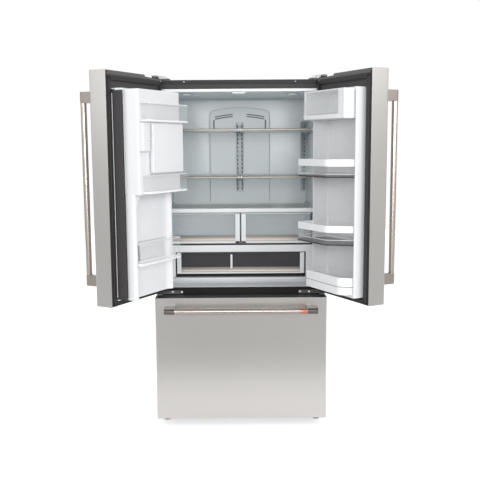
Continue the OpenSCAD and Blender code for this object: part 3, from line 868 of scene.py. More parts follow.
@dataclass
class Casing(Assembly):
    """The cabinet's sheet steel, rails, hinges and feet."""

    half_width: float = 440.0
    depth: float = 716.0
    top: float = 1786.0
    bottom: float = 46.0
    rail_half: float = 412.0
    bead_count: int = 11

    def build(self) -> None:
        """Builds every piece of the casing."""
        shop = self.shop("cabinet")
        shop.soften("cabinet_shell", CABINET_PAINT, 0.4)
        self.back(shop)
        self.rails(shop)
        self.hinges(shop)
        shop.soften("base_pan", CHASSIS_PAINT, 0.6)
        shop.soften("rear_cover", CHASSIS_PAINT, 0.3)
        self.feet(shop)

    def back(self, shop: Workshop) -> None:
        """The rear panel with pressed beads and its screws."""
        wide, low, high = self.half_width - 2, 332.0, self.top - 2
        form = Form().block((-wide, 712.6, low), (wide, 713.6, high), 0.3)
        form.ring(rectangle(-wide, low, wide, high), Axis.Y, 712.6, 715.4, 16.0, 2.0, 0.8)
        for k in range(self.bead_count):
            z = low + 90 + k * (high - low - 180) / (self.bead_count - 1)
            form.prism(rectangle(-wide + 60, z - 7, wide - 60, z + 7), Axis.Y, 713.0, 716.8, 6.9, 1.6)
        for x in (-wide + 8, 0.0, wide - 8):
            for z in (low + 8, (low + high) / 2, high - 8):
                form.screw((x, 715.2, z), Vector((0, 1, 0)), 4.5, 1.7, 1)
        shop.piece(form, "back_panel", [BACK_ZINC, SCREW_STEEL, SLOT_SHADE], ["cabinet_back"])

    def rails(self, shop: Workshop) -> None:
        """The three rails between the liners, and the top rail's seam."""
        wide = self.rail_half
        form = Form().block((-wide, -1, 1741.6), (wide, -0.1, 1765), 0.3, 1)
        form.block((-wide, -0.8, 1766), (wide, -0.1, self.top - 1), 0.3)
        form.block((-wide, 0, 654), (wide, 22, 721), 1.5, 2)
        form.block((-wide, -0.4, 690), (wide, 0, 719), 0.2, 2)
        form.block((-wide, 0, self.bottom + 1.5), (wide, 2, 89), 0.6, 2)
        shop.piece(form, "rails", [TOP_RAIL_DARK, TOP_RAIL_GREY, RAIL_BLACK_AND_GAP_SHADE], ["front_rails"])

    def hinges(self, shop: Workshop) -> None:
        """Hinge plates, their moulded covers and every screw on the front."""
        shop.soften("door_hinges", HINGE_BLACK, 0.8)
        cover = [(355, 1792.4), (383, 1808), (440, 1808), (440, 1792.4)]
        form = Form()
        for points in (cover, mirrored(cover)):
            form.prism(points, Axis.Y, -1.0, 66.0, (1.0, 12.0, 5.0, 1.0), 3.5)
        for side in (-1, 1):
            near, far = sorted((side * 404.2, side * 438.8))
            form.prism(rectangle(near, -59.8, far, 6), Axis.Z, 1792.5, 1804.8, (14, 14, 0, 0), 5.0, 0, 8)
        # The caps' finish is painted lighter than the door caps' plastic, for painted sheen.
        shop.piece(form, "hinge_caps", CAP_GREY_WITH_SHEEN, ["hinge_covers"])
        plates = Form()
        for side in (-1, 1):
            near, far = sorted((side * 302.5, side * 438.5))
            plates.prism(rectangle(near, 687.4, far, 706.6), Axis.Y, -5.7, -4.7, 3.0, 0.4)
        shop.piece(plates, "hinge_bracket_faces", HINGE_GREY)
        screws = Form()
        for side in (-1, 1):
            for x in (310, 358):
                screws.screw((side * x, -5.5, 696), Vector((0, -1, 0)), 6.5, 2.0)
            screws.screw((side * 281, -1, 1776), Vector((0, -1, 0)), 3.5, 1.8)
        shop.piece(screws, "front_screws", [SCREW_STEEL, SLOT_SHADE], ["hinge_screws"])

    def feet(self, shop: Workshop) -> None:
        """Levelling feet in front and rollers behind."""
        form = Form()
        for side in (-1, 1):
            move = Matrix.Translation((side * 399, 20, 0))
            form.lathe(
                [(0, 0), (18, 0), (20, 1.5), (20, 7), (18, 10), (9, 10.5), (6, 12), (6, 38), (0, 38)], move
            )
        shop.piece(form, "feet", FOOT_BLACK, ["levelling_feet"])
        for name, x in (("left", -395.5), ("right", 395.5)):
            wheel = Form()
            turn = Matrix.Translation((x, 640, 24)) @ Matrix.Rotation(math.pi / 2, 4, "Y")
            rim = [(5.2, -11), (9, -11), (10, -8), (19, -8),
            (20, -11), (22.5, -11), (24, -9), (24, 9), (22.5, 11),
                   (20, 11), (19, 8), (10, 8), (9, 11), (5.2, 11), (5.2, -11)]
            wheel.lathe(rim, turn, 0, 48)
            self.shop(f"{name}_roller").piece(
                wheel, f"{name}_roller_wheel", FOOT_BLACK, [f"rear_roller_{name}"]
            )


@dataclass
class Cooling(Assembly):
    """The compressor, condenser, evaporator and their fans."""

    centre: Point = (270.0, 600.0)

    def build(self) -> None:
        """Builds the sealed system's pieces."""
        shop = self.shop("cabinet")
        x, y = self.centre
        form = Form()
        dome = [(0, 52), (66, 52), (75, 62), (75, 120),
        (76.5, 124), (76.5, 130), (75, 134), (75, 182), (64, 202),
                (60, 204), (40, 213), (0, 216)]
        form.lathe(dome, Matrix.Translation((x, y, 0)), 0, 56)
        for u in (-60, 60):
            for v in (-50, 50):
                form.lathe([(0, 40), (10, 40), (10, 52), (7, 54), (10, 56), (10, 70), (0, 70)],
                           Matrix.Translation((x + u, y + v, 0)), 1, 24)
        shop.piece(form, "compressor_shell", [HINGE_BLACK, FOOT_BLACK], ["compressor"])
        shop.soften("condenser", CHASSIS_PAINT, 0.2, 1)
        shop.soften("evaporator", FIN_ALUMINIUM, 0.2, 1)
        self.shop("condenser_fan_wheel").soften("condenser_fan", PAN_SHADE_AND_DARK_PLASTIC, 0.5)
        self.shop("evaporator_fan_wheel").soften("evaporator_fan", PART_WHITE, 0.5)


@dataclass
class FreshRoom(Assembly):
    """The refrigerated room: liner, duct cover, shelves and drawer frame."""

    half: float = 396.0
    floor: float = 724.0
    step: float = 752.0
    ceiling: float = 1725.0
    depth: float = 600.0
    shelf_heights: Sequence[float] = (1534.0, 1281.0)
    arch: Point = (0.0, 984.0)
    arch_radius: float = 691.0

    def build(self) -> None:
        """Builds the room and what is fixed in it."""
        shop = self.shop("cabinet")
        self.liner(shop)
        self.duct(shop)
        self.ladders(shop)
        self.shelves(shop)
        self.crisper_top(shop)
        self.divider(shop)

    def liner(self, shop: Workshop) -> None:
        """The moulded room with rounded corners, its flange and its lamps."""
        half, wall = self.half, 2.5
        upper = Form().prism(
            rectangle(-half, self.step, half, self.ceiling), Axis.Y, -60, self.depth, 15.0, 22.0
        )
        lower = Form().prism(
            rectangle(-half, self.floor, half, self.ceiling - 200), Axis.Y, -60, 120, 6.0, 5.0
        )
        shelf = Form().block(
            (-half - 9, 122.5, self.floor - 9), (half + 9, self.depth + 9, self.step - wall), 0.1
        )
        box = Form().block(
            (-half - wall, 0, self.floor - 1.5), (half + wall, self.depth + wall, self.ceiling + wall), 0.0
        )
        shop.piece(box, "room_walls", ROOM_GREY, ["fridge_liner"], [upper, lower, shelf], 1.0)
        mouth = Form().prism(rectangle(-half, self.floor, half, self.ceiling), Axis.Y, -9, 9, 15.0, 0.0)
        lip = Form().block((-half - 16, 0, 722), (half + 16, wall, 1741), 0.8)
        shop.piece(lip, "room_flange", LINER_WHITE, (), [mouth], 0.8)
        cove = arc((94, 752), 25.0, 0, -90, 12)
        sill = Form().prism(
            [(1, 724.2), (119.6, 724.2), (119.6, 752)] + cove + [(1, 726.2)], Axis.X, -half + 1, half - 1
        )
        # The sill's finish is the liner's colour darkened: painted shade under the pan.
        shop.piece(sill, "room_sill", SILL_SHADE)
        lamps = Form()
        for side in (-1, 1):
            move = Matrix.Translation((side * 276, 143, self.ceiling)) @ Matrix.Diagonal((1, 0.6, 1, 1))
            lamps.lathe([(0, -2.4), (24, -2.4), (27, -1.6), (28, -0.1), (0, -0.1)], move)
            # A thin ring of painted shade round each lens.
            lamps.lathe([(28, -0.1), (28.5, -2.6), (31, -2.6), (32, -0.1), (28, -0.1)], move, 1)
        shop.piece(lamps, "ceiling_lamps", [LENS, SLOT_SHADE])
        shop.soften("mullion_guide", PART_WHITE, 1.0)

    def duct(self, shop: Workshop) -> None:
        """The arched air duct cover with its two curved vents."""
        centre, wide, foot = self.arch, 173.0, 967.0
        turn = math.degrees(math.acos(wide / self.arch_radius))
        head = arc(centre, self.arch_radius, turn, 180 - turn, 16)
        outline = [(-389, 922), (389, 922), (389, foot), (wide, foot)] + head + [(-wide, foot), (-389, foot)]
        radii = [2, 2, 2, 16, 26] + [0] * 15 + [26, 16, 2]
        form = Form().prism(outline, Axis.Y, 578, 599, radii, 4.0)
        # A band in a darker grey behind the cover's edge, a little wider than it: the seam round the cover with
        # painted shade in it.
        edge = wide + 4.0
        wider = arc(centre, self.arch_radius + 4.0, turn - 0.3, 180.3 - turn, 16)
        seam = Form().prism(
            [(-edge, 1125), (edge, 1125)] + wider, Axis.Y, 594, 598.4, [4, 4, 26] + [0] * 15 + [26], 1.5
        )
        shop.piece(seam, "duct_seam", SEAM_SHADE_GREY)
        cutters = []
        for side in (-1, 1):
            for inner, outer in ((639.0, 645.0), (651.0, 657.0)):
                ends = [math.degrees(math.acos(x / outer)) for x in (145.0, 41.0)]
                vent = arc(centre, outer, *ends, 12) + arc(centre, inner, *ends[::-1], 12)
                vent = vent if side > 0 else mirrored(vent)
                cutters.append(Form().prism(vent, Axis.Y, 570, 590, 0.0, 0.0))
            slot = sorted((side * 147.0, side * 154.0))
            cutters.append(Form().block((slot[0], 570, 1552), (slot[1], 590, 1606), 0.0))
        piece = shop.piece(form, "duct_panel", DUCT_GREY, ["duct_cover"], cutters, 0.6)
        LOG.info("%s has %d vents", piece.name, len(cutters))
        # A dark plate behind the vents: painted shade inside them.
        back = Form().block((-160, 586, 1545), (160, 597, 1646), 0.4)
        shop.piece(back, "duct_vent_backing", SLOT_SHADE)

    def ladders(self, shop: Workshop) -> None:
        """Slotted shelf ladders, with painted shade behind the slots."""
        shop.soften("shelf_ladders", LADDER_WHITE, 0.6)
        form = Form()
        for x in (-12, 12):
            form.block((x - 4, 576.4, 1190), (x + 4, 577.8, 1590), 0.2)
        for x in (-380, 380):
            form.block((x - 4, 598, 1190), (x + 4, 599.6, 1590), 0.2)
        shop.piece(form, "ladder_slots", SLOT_SHADE)

    def shelves(self, shop: Workshop) -> None:
        """Four cantilevered half shelves with metal front trims."""
        trims, arms, panes = Form(), Form(), Form()
        for side in (-1, 1):
            for z in self.shelf_heights:
                near, far = sorted((side * 9.0, side * 384.0))
                bead = [(187, z + 1), (188.5, z), (202, z), (202, z + 12), (189, z + 12), (187, z + 10)]
                trims.prism(bead, Axis.X, near, far, 1.2, 0.6)
                for x in (side * 6.0, side * 387.0):
                    arms.block((x - 3.4, 187.4, z), (x + 3.4, 560, z + 12), 1.5)
                arms.block((near, 202, z + 0.5), (far, 206, z + 5), 0.5)
                arms.block((near, 547, z), (far, 560, z + 12), 1.5)
                for x, reach in ((side * 7.0, 572.0), (side * 383.0, 594.0)):
                    plate = [
                        (257, z), (reach, z), (reach, z - 24),
                        (reach - 14, z - 24), (540, z - 12), (420, z - 8)
                    ]
                    arms.prism(plate, Axis.X, x - 1.8, x + 1.8, 1.5, 0.4, 1)
                x0, x1 = sorted((side * 9.6, side * 383.4))
                panes.block((x0, 203, z + 5.2), (x1, 546, z + 9.2), 0.8)
        shop.piece(trims, "shelf_trims", TRIM_BRONZE, ["shelf_frames"])
        shop.piece(arms, "shelf_arms", [PART_WHITE, LADDER_WHITE])
        shop.piece(panes, "shelf_panes", SHELF_GLASS, ["shelf_glass"])

    def crisper_top(self, shop: Workshop) -> None:
        """The glazed cover above the crispers, with its moulded rim."""
        form = Form().ring(rectangle(-392, 160, 392, 574), Axis.Z, 1099.4, 1122.6, 13.6, 2.0, 2.0)
        form.block((-391.6, 145.2, 1099.2), (391.6, 168, 1122.8), 5.0, 0, 3)
        shop.piece(form, "crisper_rim", PART_WHITE, ["crisper_cover"])
        shop.piece(Form().block((-378, 168, 1114), (378, 561, 1118), 0.6), "crisper_pane", SHELF_GLASS)

    def divider(self, shop: Workshop) -> None:
        """The frame that carries the crispers and holds the pan, with black strips of painted shade in its gaps."""
        form = Form().block((-392, 130, 888), (392, 150, 926.5), 4.0, 0, 3)
        form.block((-392, 149, 914.6), (392, 580, 919), 1.0)
        form.block((-392, 576, 753), (392, 580, 915), 0.5)
        for side in (-1, 1):
            near, far = sorted((side * 351.0, side * 392.0))
            form.block((near, 131, 753), (far, 580, 892), 4.0, 0, 3)
            # A black strip in the slot beside each pillar: painted shade.
            slot = sorted((side * 343.5, side * 351.0))
            form.block((slot[0], 170, 755), (slot[1], 172, 887), 0.2, 1)
        # A black strip on the beam under the crispers: painted shade in the gap.
        form.block((-391, 137, 926), (391, 146, 932.5), 0.5, 1)
        # A black strip under the pan: painted shade in the gap.
        form.block((-351, 152, 753), (351, 156, 771), 0.5, 1)
        shop.piece(form, "drawer_divider", [PART_WHITE, RAIL_BLACK_AND_GAP_SHADE], ["drawer_frame"])


@dataclass
class Drawers(Assembly):
    """The two crispers and the wide pan."""

    front: float = 145.0
    rear: float = 560.0
    low: float = 934.0
    high: float = 1096.0

    def build(self) -> None:
        """Builds the three pull-out containers."""
        self.crisper("left", -378.0, -3.0, -28.0)
        self.crisper("right", 5.0, 380.0, 30.0)
        self.pan()

    @staticmethod
    def scoop(form: Form, near: float, far: float, front: float, low: float, high: float, index: int) -> None:
        """Adds a hollowed metal grip strip along a container's front."""
        rise = high - low
        curve = [(front + 8.5 * (k / 8) ** 1.7, low + 2 + (rise - 2) * k / 8) for k in range(9)]
        form.prism([(front + 9.4, high), (front + 9.4, low), (front, low)] + curve[:-1] + [(front + 8.5, high)],
                   Axis.X, near, far, 0.0, 0.0, index)

    def crisper(self, name: str, near: float, far: float, stile: float) -> None:
        """One crisper: clear box, white stile and lip, and metal grip."""
        shop = self.shop(f"crisper_{name}")
        box = Form().tray(
            rectangle(near, self.front + 9.5, far, self.rear),
            Axis.Z, self.low, self.high - 1, 2.6, 10.0, 1.0, 0.99
        )
        shop.piece(box, f"{name}_crisper_box", CRISPER_CLEAR, [f"{name}_crisper"])
        trim = Form()
        edge = far if name == "left" else near
        u, v = sorted((stile, edge))
        trim.block((u, self.front, self.low), (v, self.front + 10, self.high), 1.5, 0, 3)
        trim.block((near, self.front, self.low), (far, self.front + 10, self.low + 12), 1.0)
        trim.ring(
            rectangle(near, self.front, far, self.rear), Axis.Z, self.high - 4, self.high, 5.0, 6.0, 1.0
        )
        low, high = (near, u) if name == "left" else (v, far)
        self.scoop(trim, low + 0.2, high - 0.2, self.front, self.low + 12.2, self.low + 43, 1)
        shop.piece(trim, f"{name}_crisper_trim", [PART_WHITE, TRIM_BRONZE])

    def pan(self) -> None:
        """The wide pan: a dark body of painted shade for its shadowed inside, white stiles, divider and metal grip.
        """
        shop = self.shop("pan")
        # The body is opaque and dark: painted shade for the shadowed inside seen through the pan's front.
        body = Form().tray(rectangle(-342, 137, 342, 560), Axis.Z, 773, 884, 3.5, 10.0, 1.0, 0.99)
        shop.piece(body, "pan_body", PAN_SHADE_AND_DARK_PLASTIC, ["deli_pan"])
        trim = Form()
        for x in (-343, 320):
            trim.block((x, 128, 772), (x + 23, 138, 885), 1.5, 0, 3)
        trim.block((-320, 128, 772), (320, 138, 779.5), 1.0)
        trim.block((-55, 129, 800), (-44, 138, 876), 1.2)
        trim.block((-52, 136, 777), (-47, 555, 868), 1.0)
        # A dark strip along the top of the front: painted shade of the inside.
        trim.block((-320, 129, 876), (320, 138, 884.6), 1.2, 2)
        self.scoop(trim, -320.2, 320.2, 128.0, 779.7, 806.5, 1)
        shop.piece(trim, "pan_trim", [PART_WHITE, TRIM_BRONZE, PAN_SHADE_AND_DARK_PLASTIC])


@dataclass
class Freezer(Assembly):
    """The freezer room, its slides, drawer front, bin and basket."""

    face: float = -107.4
    grip_height: float = 630.0
    grip_half: float = 387.0
    post: float = 361.0
    reach: float = -175.0
    tube: float = 14.0
    band: Point = (299.0, 333.0)

    def build(self) -> None:
        """Builds the freezer's pieces, body by body."""
        self.shop("cabinet").soften("freezer_liner", LINER_WHITE, 1.0)
        self.shop("cabinet").soften("freezer_rails", SLIDE_STEEL, 0.8)
        self.shop("slides").soften("slide_middles", SLIDE_STEEL, 0.8)
        shop = self.shop("drawer")
        shop.soften("drawer_skin", STAINLESS, 0.35)
        shop.soften("drawer_inner", FRAME_GREY, 1.2)
        shop.soften("drawer_arms", SLIDE_STEEL, 0.8)
        seal(shop, rectangle(-428, 56, 428, 678), "drawer_seal", "drawer_gasket")
        self.grip(shop)
        box = Form().tray(rectangle(-343.5, 22, 343.5, 425), Axis.Z, 120, 386, 3.0, 18.0, 1.0, 0.97)
        box.ring(rectangle(-356, 22, 356, 425), Axis.Z, 385.4, 389, 13.0, 6.0, 1.2)
        shop.piece(box, "freezer_box", FREEZER_CLEAR, ["freezer_bin"])
        basket = Form().tray(rectangle(-351.5, 27, 351.5, 424), Axis.Z, 430, 557, 3.0, 14.0, 1.0, 0.98)
        basket.ring(rectangle(-352, 26, 352, 425), Axis.Z, 554, 560, 8.0, 14.0, 1.8)
        self.shop("basket").piece(basket, "basket_tray", FREEZER_CLEAR, ["freezer_basket"])

    def grip(self, shop: Workshop) -> None:
        """The drawer's handle: tube, copper band and two brackets."""
        z, y = self.grip_height, self.reach
        low, high = self.band
        form = Form().rod((-self.grip_half, y, z), (low, y, z), self.tube, 2.0)
        form.rod((high, y, z), (self.grip_half, y, z), self.tube, 2.0)
        form.rod((low - 1, y, z), (high + 1, y, z), self.tube - 1.0, 0.0)
        form.rod((low + 0.8, y, z), (high - 0.8, y, z), self.tube, 0.8, 1)
        for x in (-self.post, self.post):
            outline = [(self.face, z - 14), (y - 14.6, z - 14), (y - 14.6, z + 14), (self.face, z + 14)]
            form.prism(outline, Axis.X, x - 26, x + 26, (0, 13.2, 13.2, 0), 1.5, 2, 8)
        shop.piece(form, "drawer_grip", [HANDLE_BRONZE, COPPER, BRACKET_SHADED], ["drawer_handle"])


def seal(shop: Workshop, outline: list[Point], name: str, node: str) -> None:
    """Makes a magnetic door seal with its folded bellows."""
    inner = [(u + (2.5 if u == min(p[0] for p in outline) else -2.5), v + (2.5 if k < 2 else -2.5))
             for k, (u, v) in enumerate(outline)]
    form = Form().ring(outline, Axis.Y, -13.8, -9.6, 17.5, 6.0, 1.6)
    form.ring(inner, Axis.Y, -9.8, -5.0, 12.0, 5.0, 1.2)
    form.ring(outline, Axis.Y, -5.4, -1.2, 17.0, 6.0, 1.8)
    shop.piece(form, name, GASKET_GREY, [node])


@dataclass
class Door(Assembly):
    """What the two upper doors have in common."""

    side: str = "left"
    width: float = 438.5
    face: float = -107.4
    low: float = 710.0
    high: float = 1799.0
    grip_at: float = 400.0
    reach: float = -175.0
    tube: float = 14.0
    liner: tuple = (28.0, 396.0, 745.0, 1716.0)

    def common(self) -> Workshop:
        """Builds skin, frame, seal and handle, and returns the workshop."""
        shop = self.shop(f"{self.side}_door")
        shop.soften(f"{self.side}_door_skin", STAINLESS, 0.35)
        shop.soften(f"{self.side}_door_frame", FRAME_GREY, 0.7)
        cap = Form().prism(
            [(140, 1797), (140, 1789), (10, 1783), (10, 1776), (428, 1776), (428, 1797)],
            Axis.Y, -13.8, -11.2,
            (3, 4, 4, 3, 4, 3), 1.0,
        )
        cap.prism(rectangle(160, 1781, 414, 1793), Axis.Y, -11.4, -10.4, 5.0, 0.6)
        shop.piece(cap, f"{self.side}_door_cap", COVER_GREY)
        seal(shop, rectangle(9, 717, 431.5, 1770), f"{self.side}_door_seal", f"{self.side}_door_gasket")
        self.grip(shop)
        return shop

    def grip(self, shop: Workshop) -> None:
        """The upright handle with its two brackets."""
        x, y = self.grip_at, self.reach
        form = Form().rod((x, y, 798.5), (x, y, 1705.5), self.tube, 2.0, 0)
        for z in (824, 1680):
            outline = [(x - 14, self.face), (x - 14, y - 14.6), (x + 14, y - 14.6), (x + 14, self.face)]
            form.prism(outline, Axis.Z, z - 26, z + 26, (0, 13.2, 13.2, 0), 1.5, 1, 8)
        shop.piece(form, f"{self.side}_grip", [HANDLE_BRONZE_UPRIGHT_LIT, BRACKET_TAUPE], [f"{self.side}_handle"])


@dataclass
class LeftDoor(Door):
    """The left door: ice box, bins, folding bar and dispenser."""

    ice_low: float = 1234.0
    ice_high: float = 1712.0
    ice_depth: float = 124.0

    def build(self) -> None:
        """Builds the whole door."""
        shop = self.common()
        self.inner(shop)
        self.ice(shop)
        self.bins(shop)
        self.bar()
        self.dispenser(shop)

    def inner(self, shop: Workshop) -> None:
        """The moulded liner with its pillar, rim and the cove above them."""
        x0, x1, z0, z1 = self.liner
        low = [(x0, -13.6), (x0, -2), (46, -2), (46, 70), (54, 70), (74, 53), (100, 50), (362, 50), (370, 92),
               (376, 96), (388, 96), (x1, 86), (x1, -13.6)]
        form = Form().prism(low, Axis.Z, z0, 1238, (0, 2, 3, 4, 5, 9, 12, 16, 5, 4, 5, 5, 0), 1.5)
        high = [(x0, -13.6), (x0, -2), (46, -2), (46, 50), (x1, 50), (x1, -13.6)]
        form.prism(high, Axis.Z, 1226, z1, (0, 2, 3, 4, 6, 0), 1.5)
        cove = [(372, 1236), (318, 1236)] + arc((318, 1182), 52.0, 90, 0, 10)[1:] + [(372, 1182)]
        form.prism(cove, Axis.Y, 40, 95, 0.0, 2.0)
        cove = [(48, 1236), (84, 1236)] + arc((84, 1206), 30.0, 90, 180, 8)[1:] + [(48, 1206)]
        form.prism(cove, Axis.Y, 40, 69, 0.0, 1.5)
        for z in (741.5, 1711):
            form.block((392, -4, z), (412.8, 9, z + 4.8), 1.0)
        for z in (742, 1697.5):
            form.rod((408.5, 4.5, z), (408.5, 4.5, z + 18.5), 2.5, 0.4, 0, 24)
        shop.piece(form, "left_liner", LINER_WHITE, ["left_door_liner"])

    def ice(self, shop: Workshop) -> None:
        """The ice box, with its mouth, seams and grip slit, and its door."""
        low, high, front = self.ice_low, self.ice_high, self.ice_depth
        plan = [(46.5, 50), (46.5, front), (384, front), (388, 115), (394, 50)]
        form = Form().prism(plan, Axis.Z, low, high, (0, 8, 3, 3, 0), 3.0)
        cutters = [
            Form().block((58, 62, 1340), (300, 130, 1548), 6.0),
            Form().block((373, 108, 1475), (381.5, 130, 1555), 0.0),
        ]
        for z in (1429.0, 1563.0):
            cutters.append(Form().block((322, front - 2.0, z), (390, front + 9, z + 2.2), 0.0))
        shop.piece(form, "ice_box_body", LINER_WHITE, ["ice_box"], cutters, 0.6)
        latch = Form().block((325, 123, 1432), (383, 144, 1562), 3.0, 0, 3)
        latch.block((332, 143, 1440), (376, 145.4, 1553), 1.2, 0, 3)
        latch.lathe([(0, 0), (7, 0), (7, 2.4), (5.6, 3.6), (0, 3.9)],
                    Matrix.Translation((354, 145.2, 1486)) @ Matrix.Rotation(-math.pi / 2, 4, "X"), 0, 28)
        latch.block((324, 145.2, 1482.5), (354, 148.2, 1489.5), 1.4, 0, 3)
        shop.piece(latch, "ice_box_latch", LINER_WHITE)
        # A dark block behind the grip slit: painted shade inside it.
        slit_shade = Form().block((373.2, 104, 1475.2), (381.3, 110, 1554.8), 0.3)
        shop.piece(slit_shade, "ice_box_slit", SLOT_SHADE)
        lugs = Form()
        for z in (1326.5, 1561.0):
            lugs.block((50, 123.5, z), (64, 138, z + 4.5), 1.0)
            start = z - 14 if z > 1500 else z
            lugs.rod((57, 131.5, start), (57, 131.5, start + 18), 2.5, 0.4, 0, 24)
        shop.piece(lugs, "ice_box_lugs", PART_WHITE)
        panel = Form().block((52, 126.5, 1332), (308, 146.6, 1560), 5.0, 0, 3)
        panel.ring(rectangle(60, 1340, 300, 1552), Axis.Y, 145.6, 147.0, 5.0, 10.0, 0.6)
        panel.block((300, 140, 1453), (318, 150, 1484), 2.0, 0, 3)
        panel.block((304, 147.5, 1455), (322, 152, 1482), 2.0, 0, 3)
        catch = Form().block((50, 120, 1331), (64, 138.5, 1345), 0.0)
        upper = Form().block((50, 120, 1547), (64, 138.5, 1561), 0.0)
        self.shop("ice_door").piece(panel, "ice_door_panel", PART_WHITE, ["ice_box_door"], [catch, upper])

    def bin(self, shop: Workshop, node: str, plan: list[Point],
    low: float, high: float, radii: Radius) -> None:
        """A clear bin with a frosted foot and a rolled rim."""
        form = Form().tray(plan, Axis.Z, low, high, 2.6, radii, 0.9, 0.975)
        form.ring(plan, Axis.Z, high - 4.5, high, 3.4, radii, 1.2, 1)
        shop.piece(form, f"{node}_clear", [BIN_CLEAR, BIN_RIM], [node])
        foot = Form().ring(plan, Axis.Z, low, low + 9, 4.0, radii, 1.4)
        shop.piece(foot, f"{node}_foot", BIN_FROST)

    def bins(self, shop: Workshop) -> None:
        """The three bins of the left door."""
        self.bin(shop, "left_bin_upper", rectangle(47, 124.5, 373, 175), 1566, 1650, (0, 0, 12, 12))
        self.bin(shop, "left_bin_middle", rectangle(47, 124.5, 366, 167), 1240, 1325, (0, 0, 12, 12))
        plan = [(64, 50.5), (360, 50.5), (368, 97), (385, 97), (385, 124), (47, 124), (47, 72), (57, 72)]
        self.bin(shop, "left_bin_lower", plan, 908, 1010, (4, 6, 4, 3, 10, 12, 3, 3))

    def bar(self) -> None:
        """The folding bar that closes the gap between the doors."""
        shop = self.shop("mullion")
        form = Form().prism(rectangle(400, -3, 412, 52), Axis.Z, 747, 1708.5, 2.5, 1.0)
        form.prism(rectangle(400, 49.6, 412, 52), Axis.Z, 760, 1698, 1.0, 0.4, 1)
        holes = [Form().rod((408.5, 4.5, z), (408.5, 4.5, z + 17), 2.6, 0.0, 0, 24) for z in (745.0, 1693.0)]
        shop.piece(form, "folding_bar", [BAR_GREY, FRAME_GREY], ["mullion_bar"], holes)
        cap = Form().prism(rectangle(399.9, 13, 412, 52), Axis.Z, 1703, 1716, 3.0, 1.5)
        shop.piece(cap, "folding_bar_cap", PART_WHITE)
        lip = Form().prism(rectangle(410.8, -2.4, 413.2, 1.2), Axis.Z, 756, 1694, 1.0, 0.5)
        shop.piece(lip, "folding_bar_lip", LIP_GREY)

    def dispenser(self, shop: Workshop) -> None:
        """The dispenser's niche, controls, tray and paddle."""
        shop.soften("dispenser", NICHE_BLACK, 0.8)
        trim = Form().ring(
            rectangle(120.3, 1090.3, 319.7, 1519.7), Axis.Y, self.face, self.face + 3, 3.0, 6.0, 0.8
        )
        for k in range(9):
            x = 156 + k * 16
            trim.block((x, -104.5, 1105.6), (x + 4, -52, 1107.4), 0.5)
        shop.piece(trim, "dispenser_trim", STAINLESS)
        keys = Form()
        for k in range(5):
            x = 148 + k * 36
            keys.lathe([(0, 0), (5.5, 0), (6, 0.3), (6, 0.5), (0, 0.5)],
                       Matrix.Translation((x, self.face + 0.2, 1432)) @ Matrix.Rotation(math.pi / 2, 4, "X"), 0, 24)
        keys.prism(rectangle(160, 1458, 280, 1500), Axis.Y, self.face - 0.0, self.face + 0.6, 4.0, 0.2, 1)
        shop.piece(keys, "dispenser_keys", [LIP_GREY, NICHE_BLACK])
        paddle = Form().prism(
            [(190, 1368), (190, 1240), (250, 1240), (250, 1368)], Axis.Y, -76, -72, (2, 14, 14, 2), 1.2
        )
        paddle.rod((176, -74, 1368), (264, -74, 1368), 3.0, 0.4, 0, 24)
        self.shop("paddle").piece(paddle, "paddle_lever", BAR_GREY, ["dispenser_paddle"])


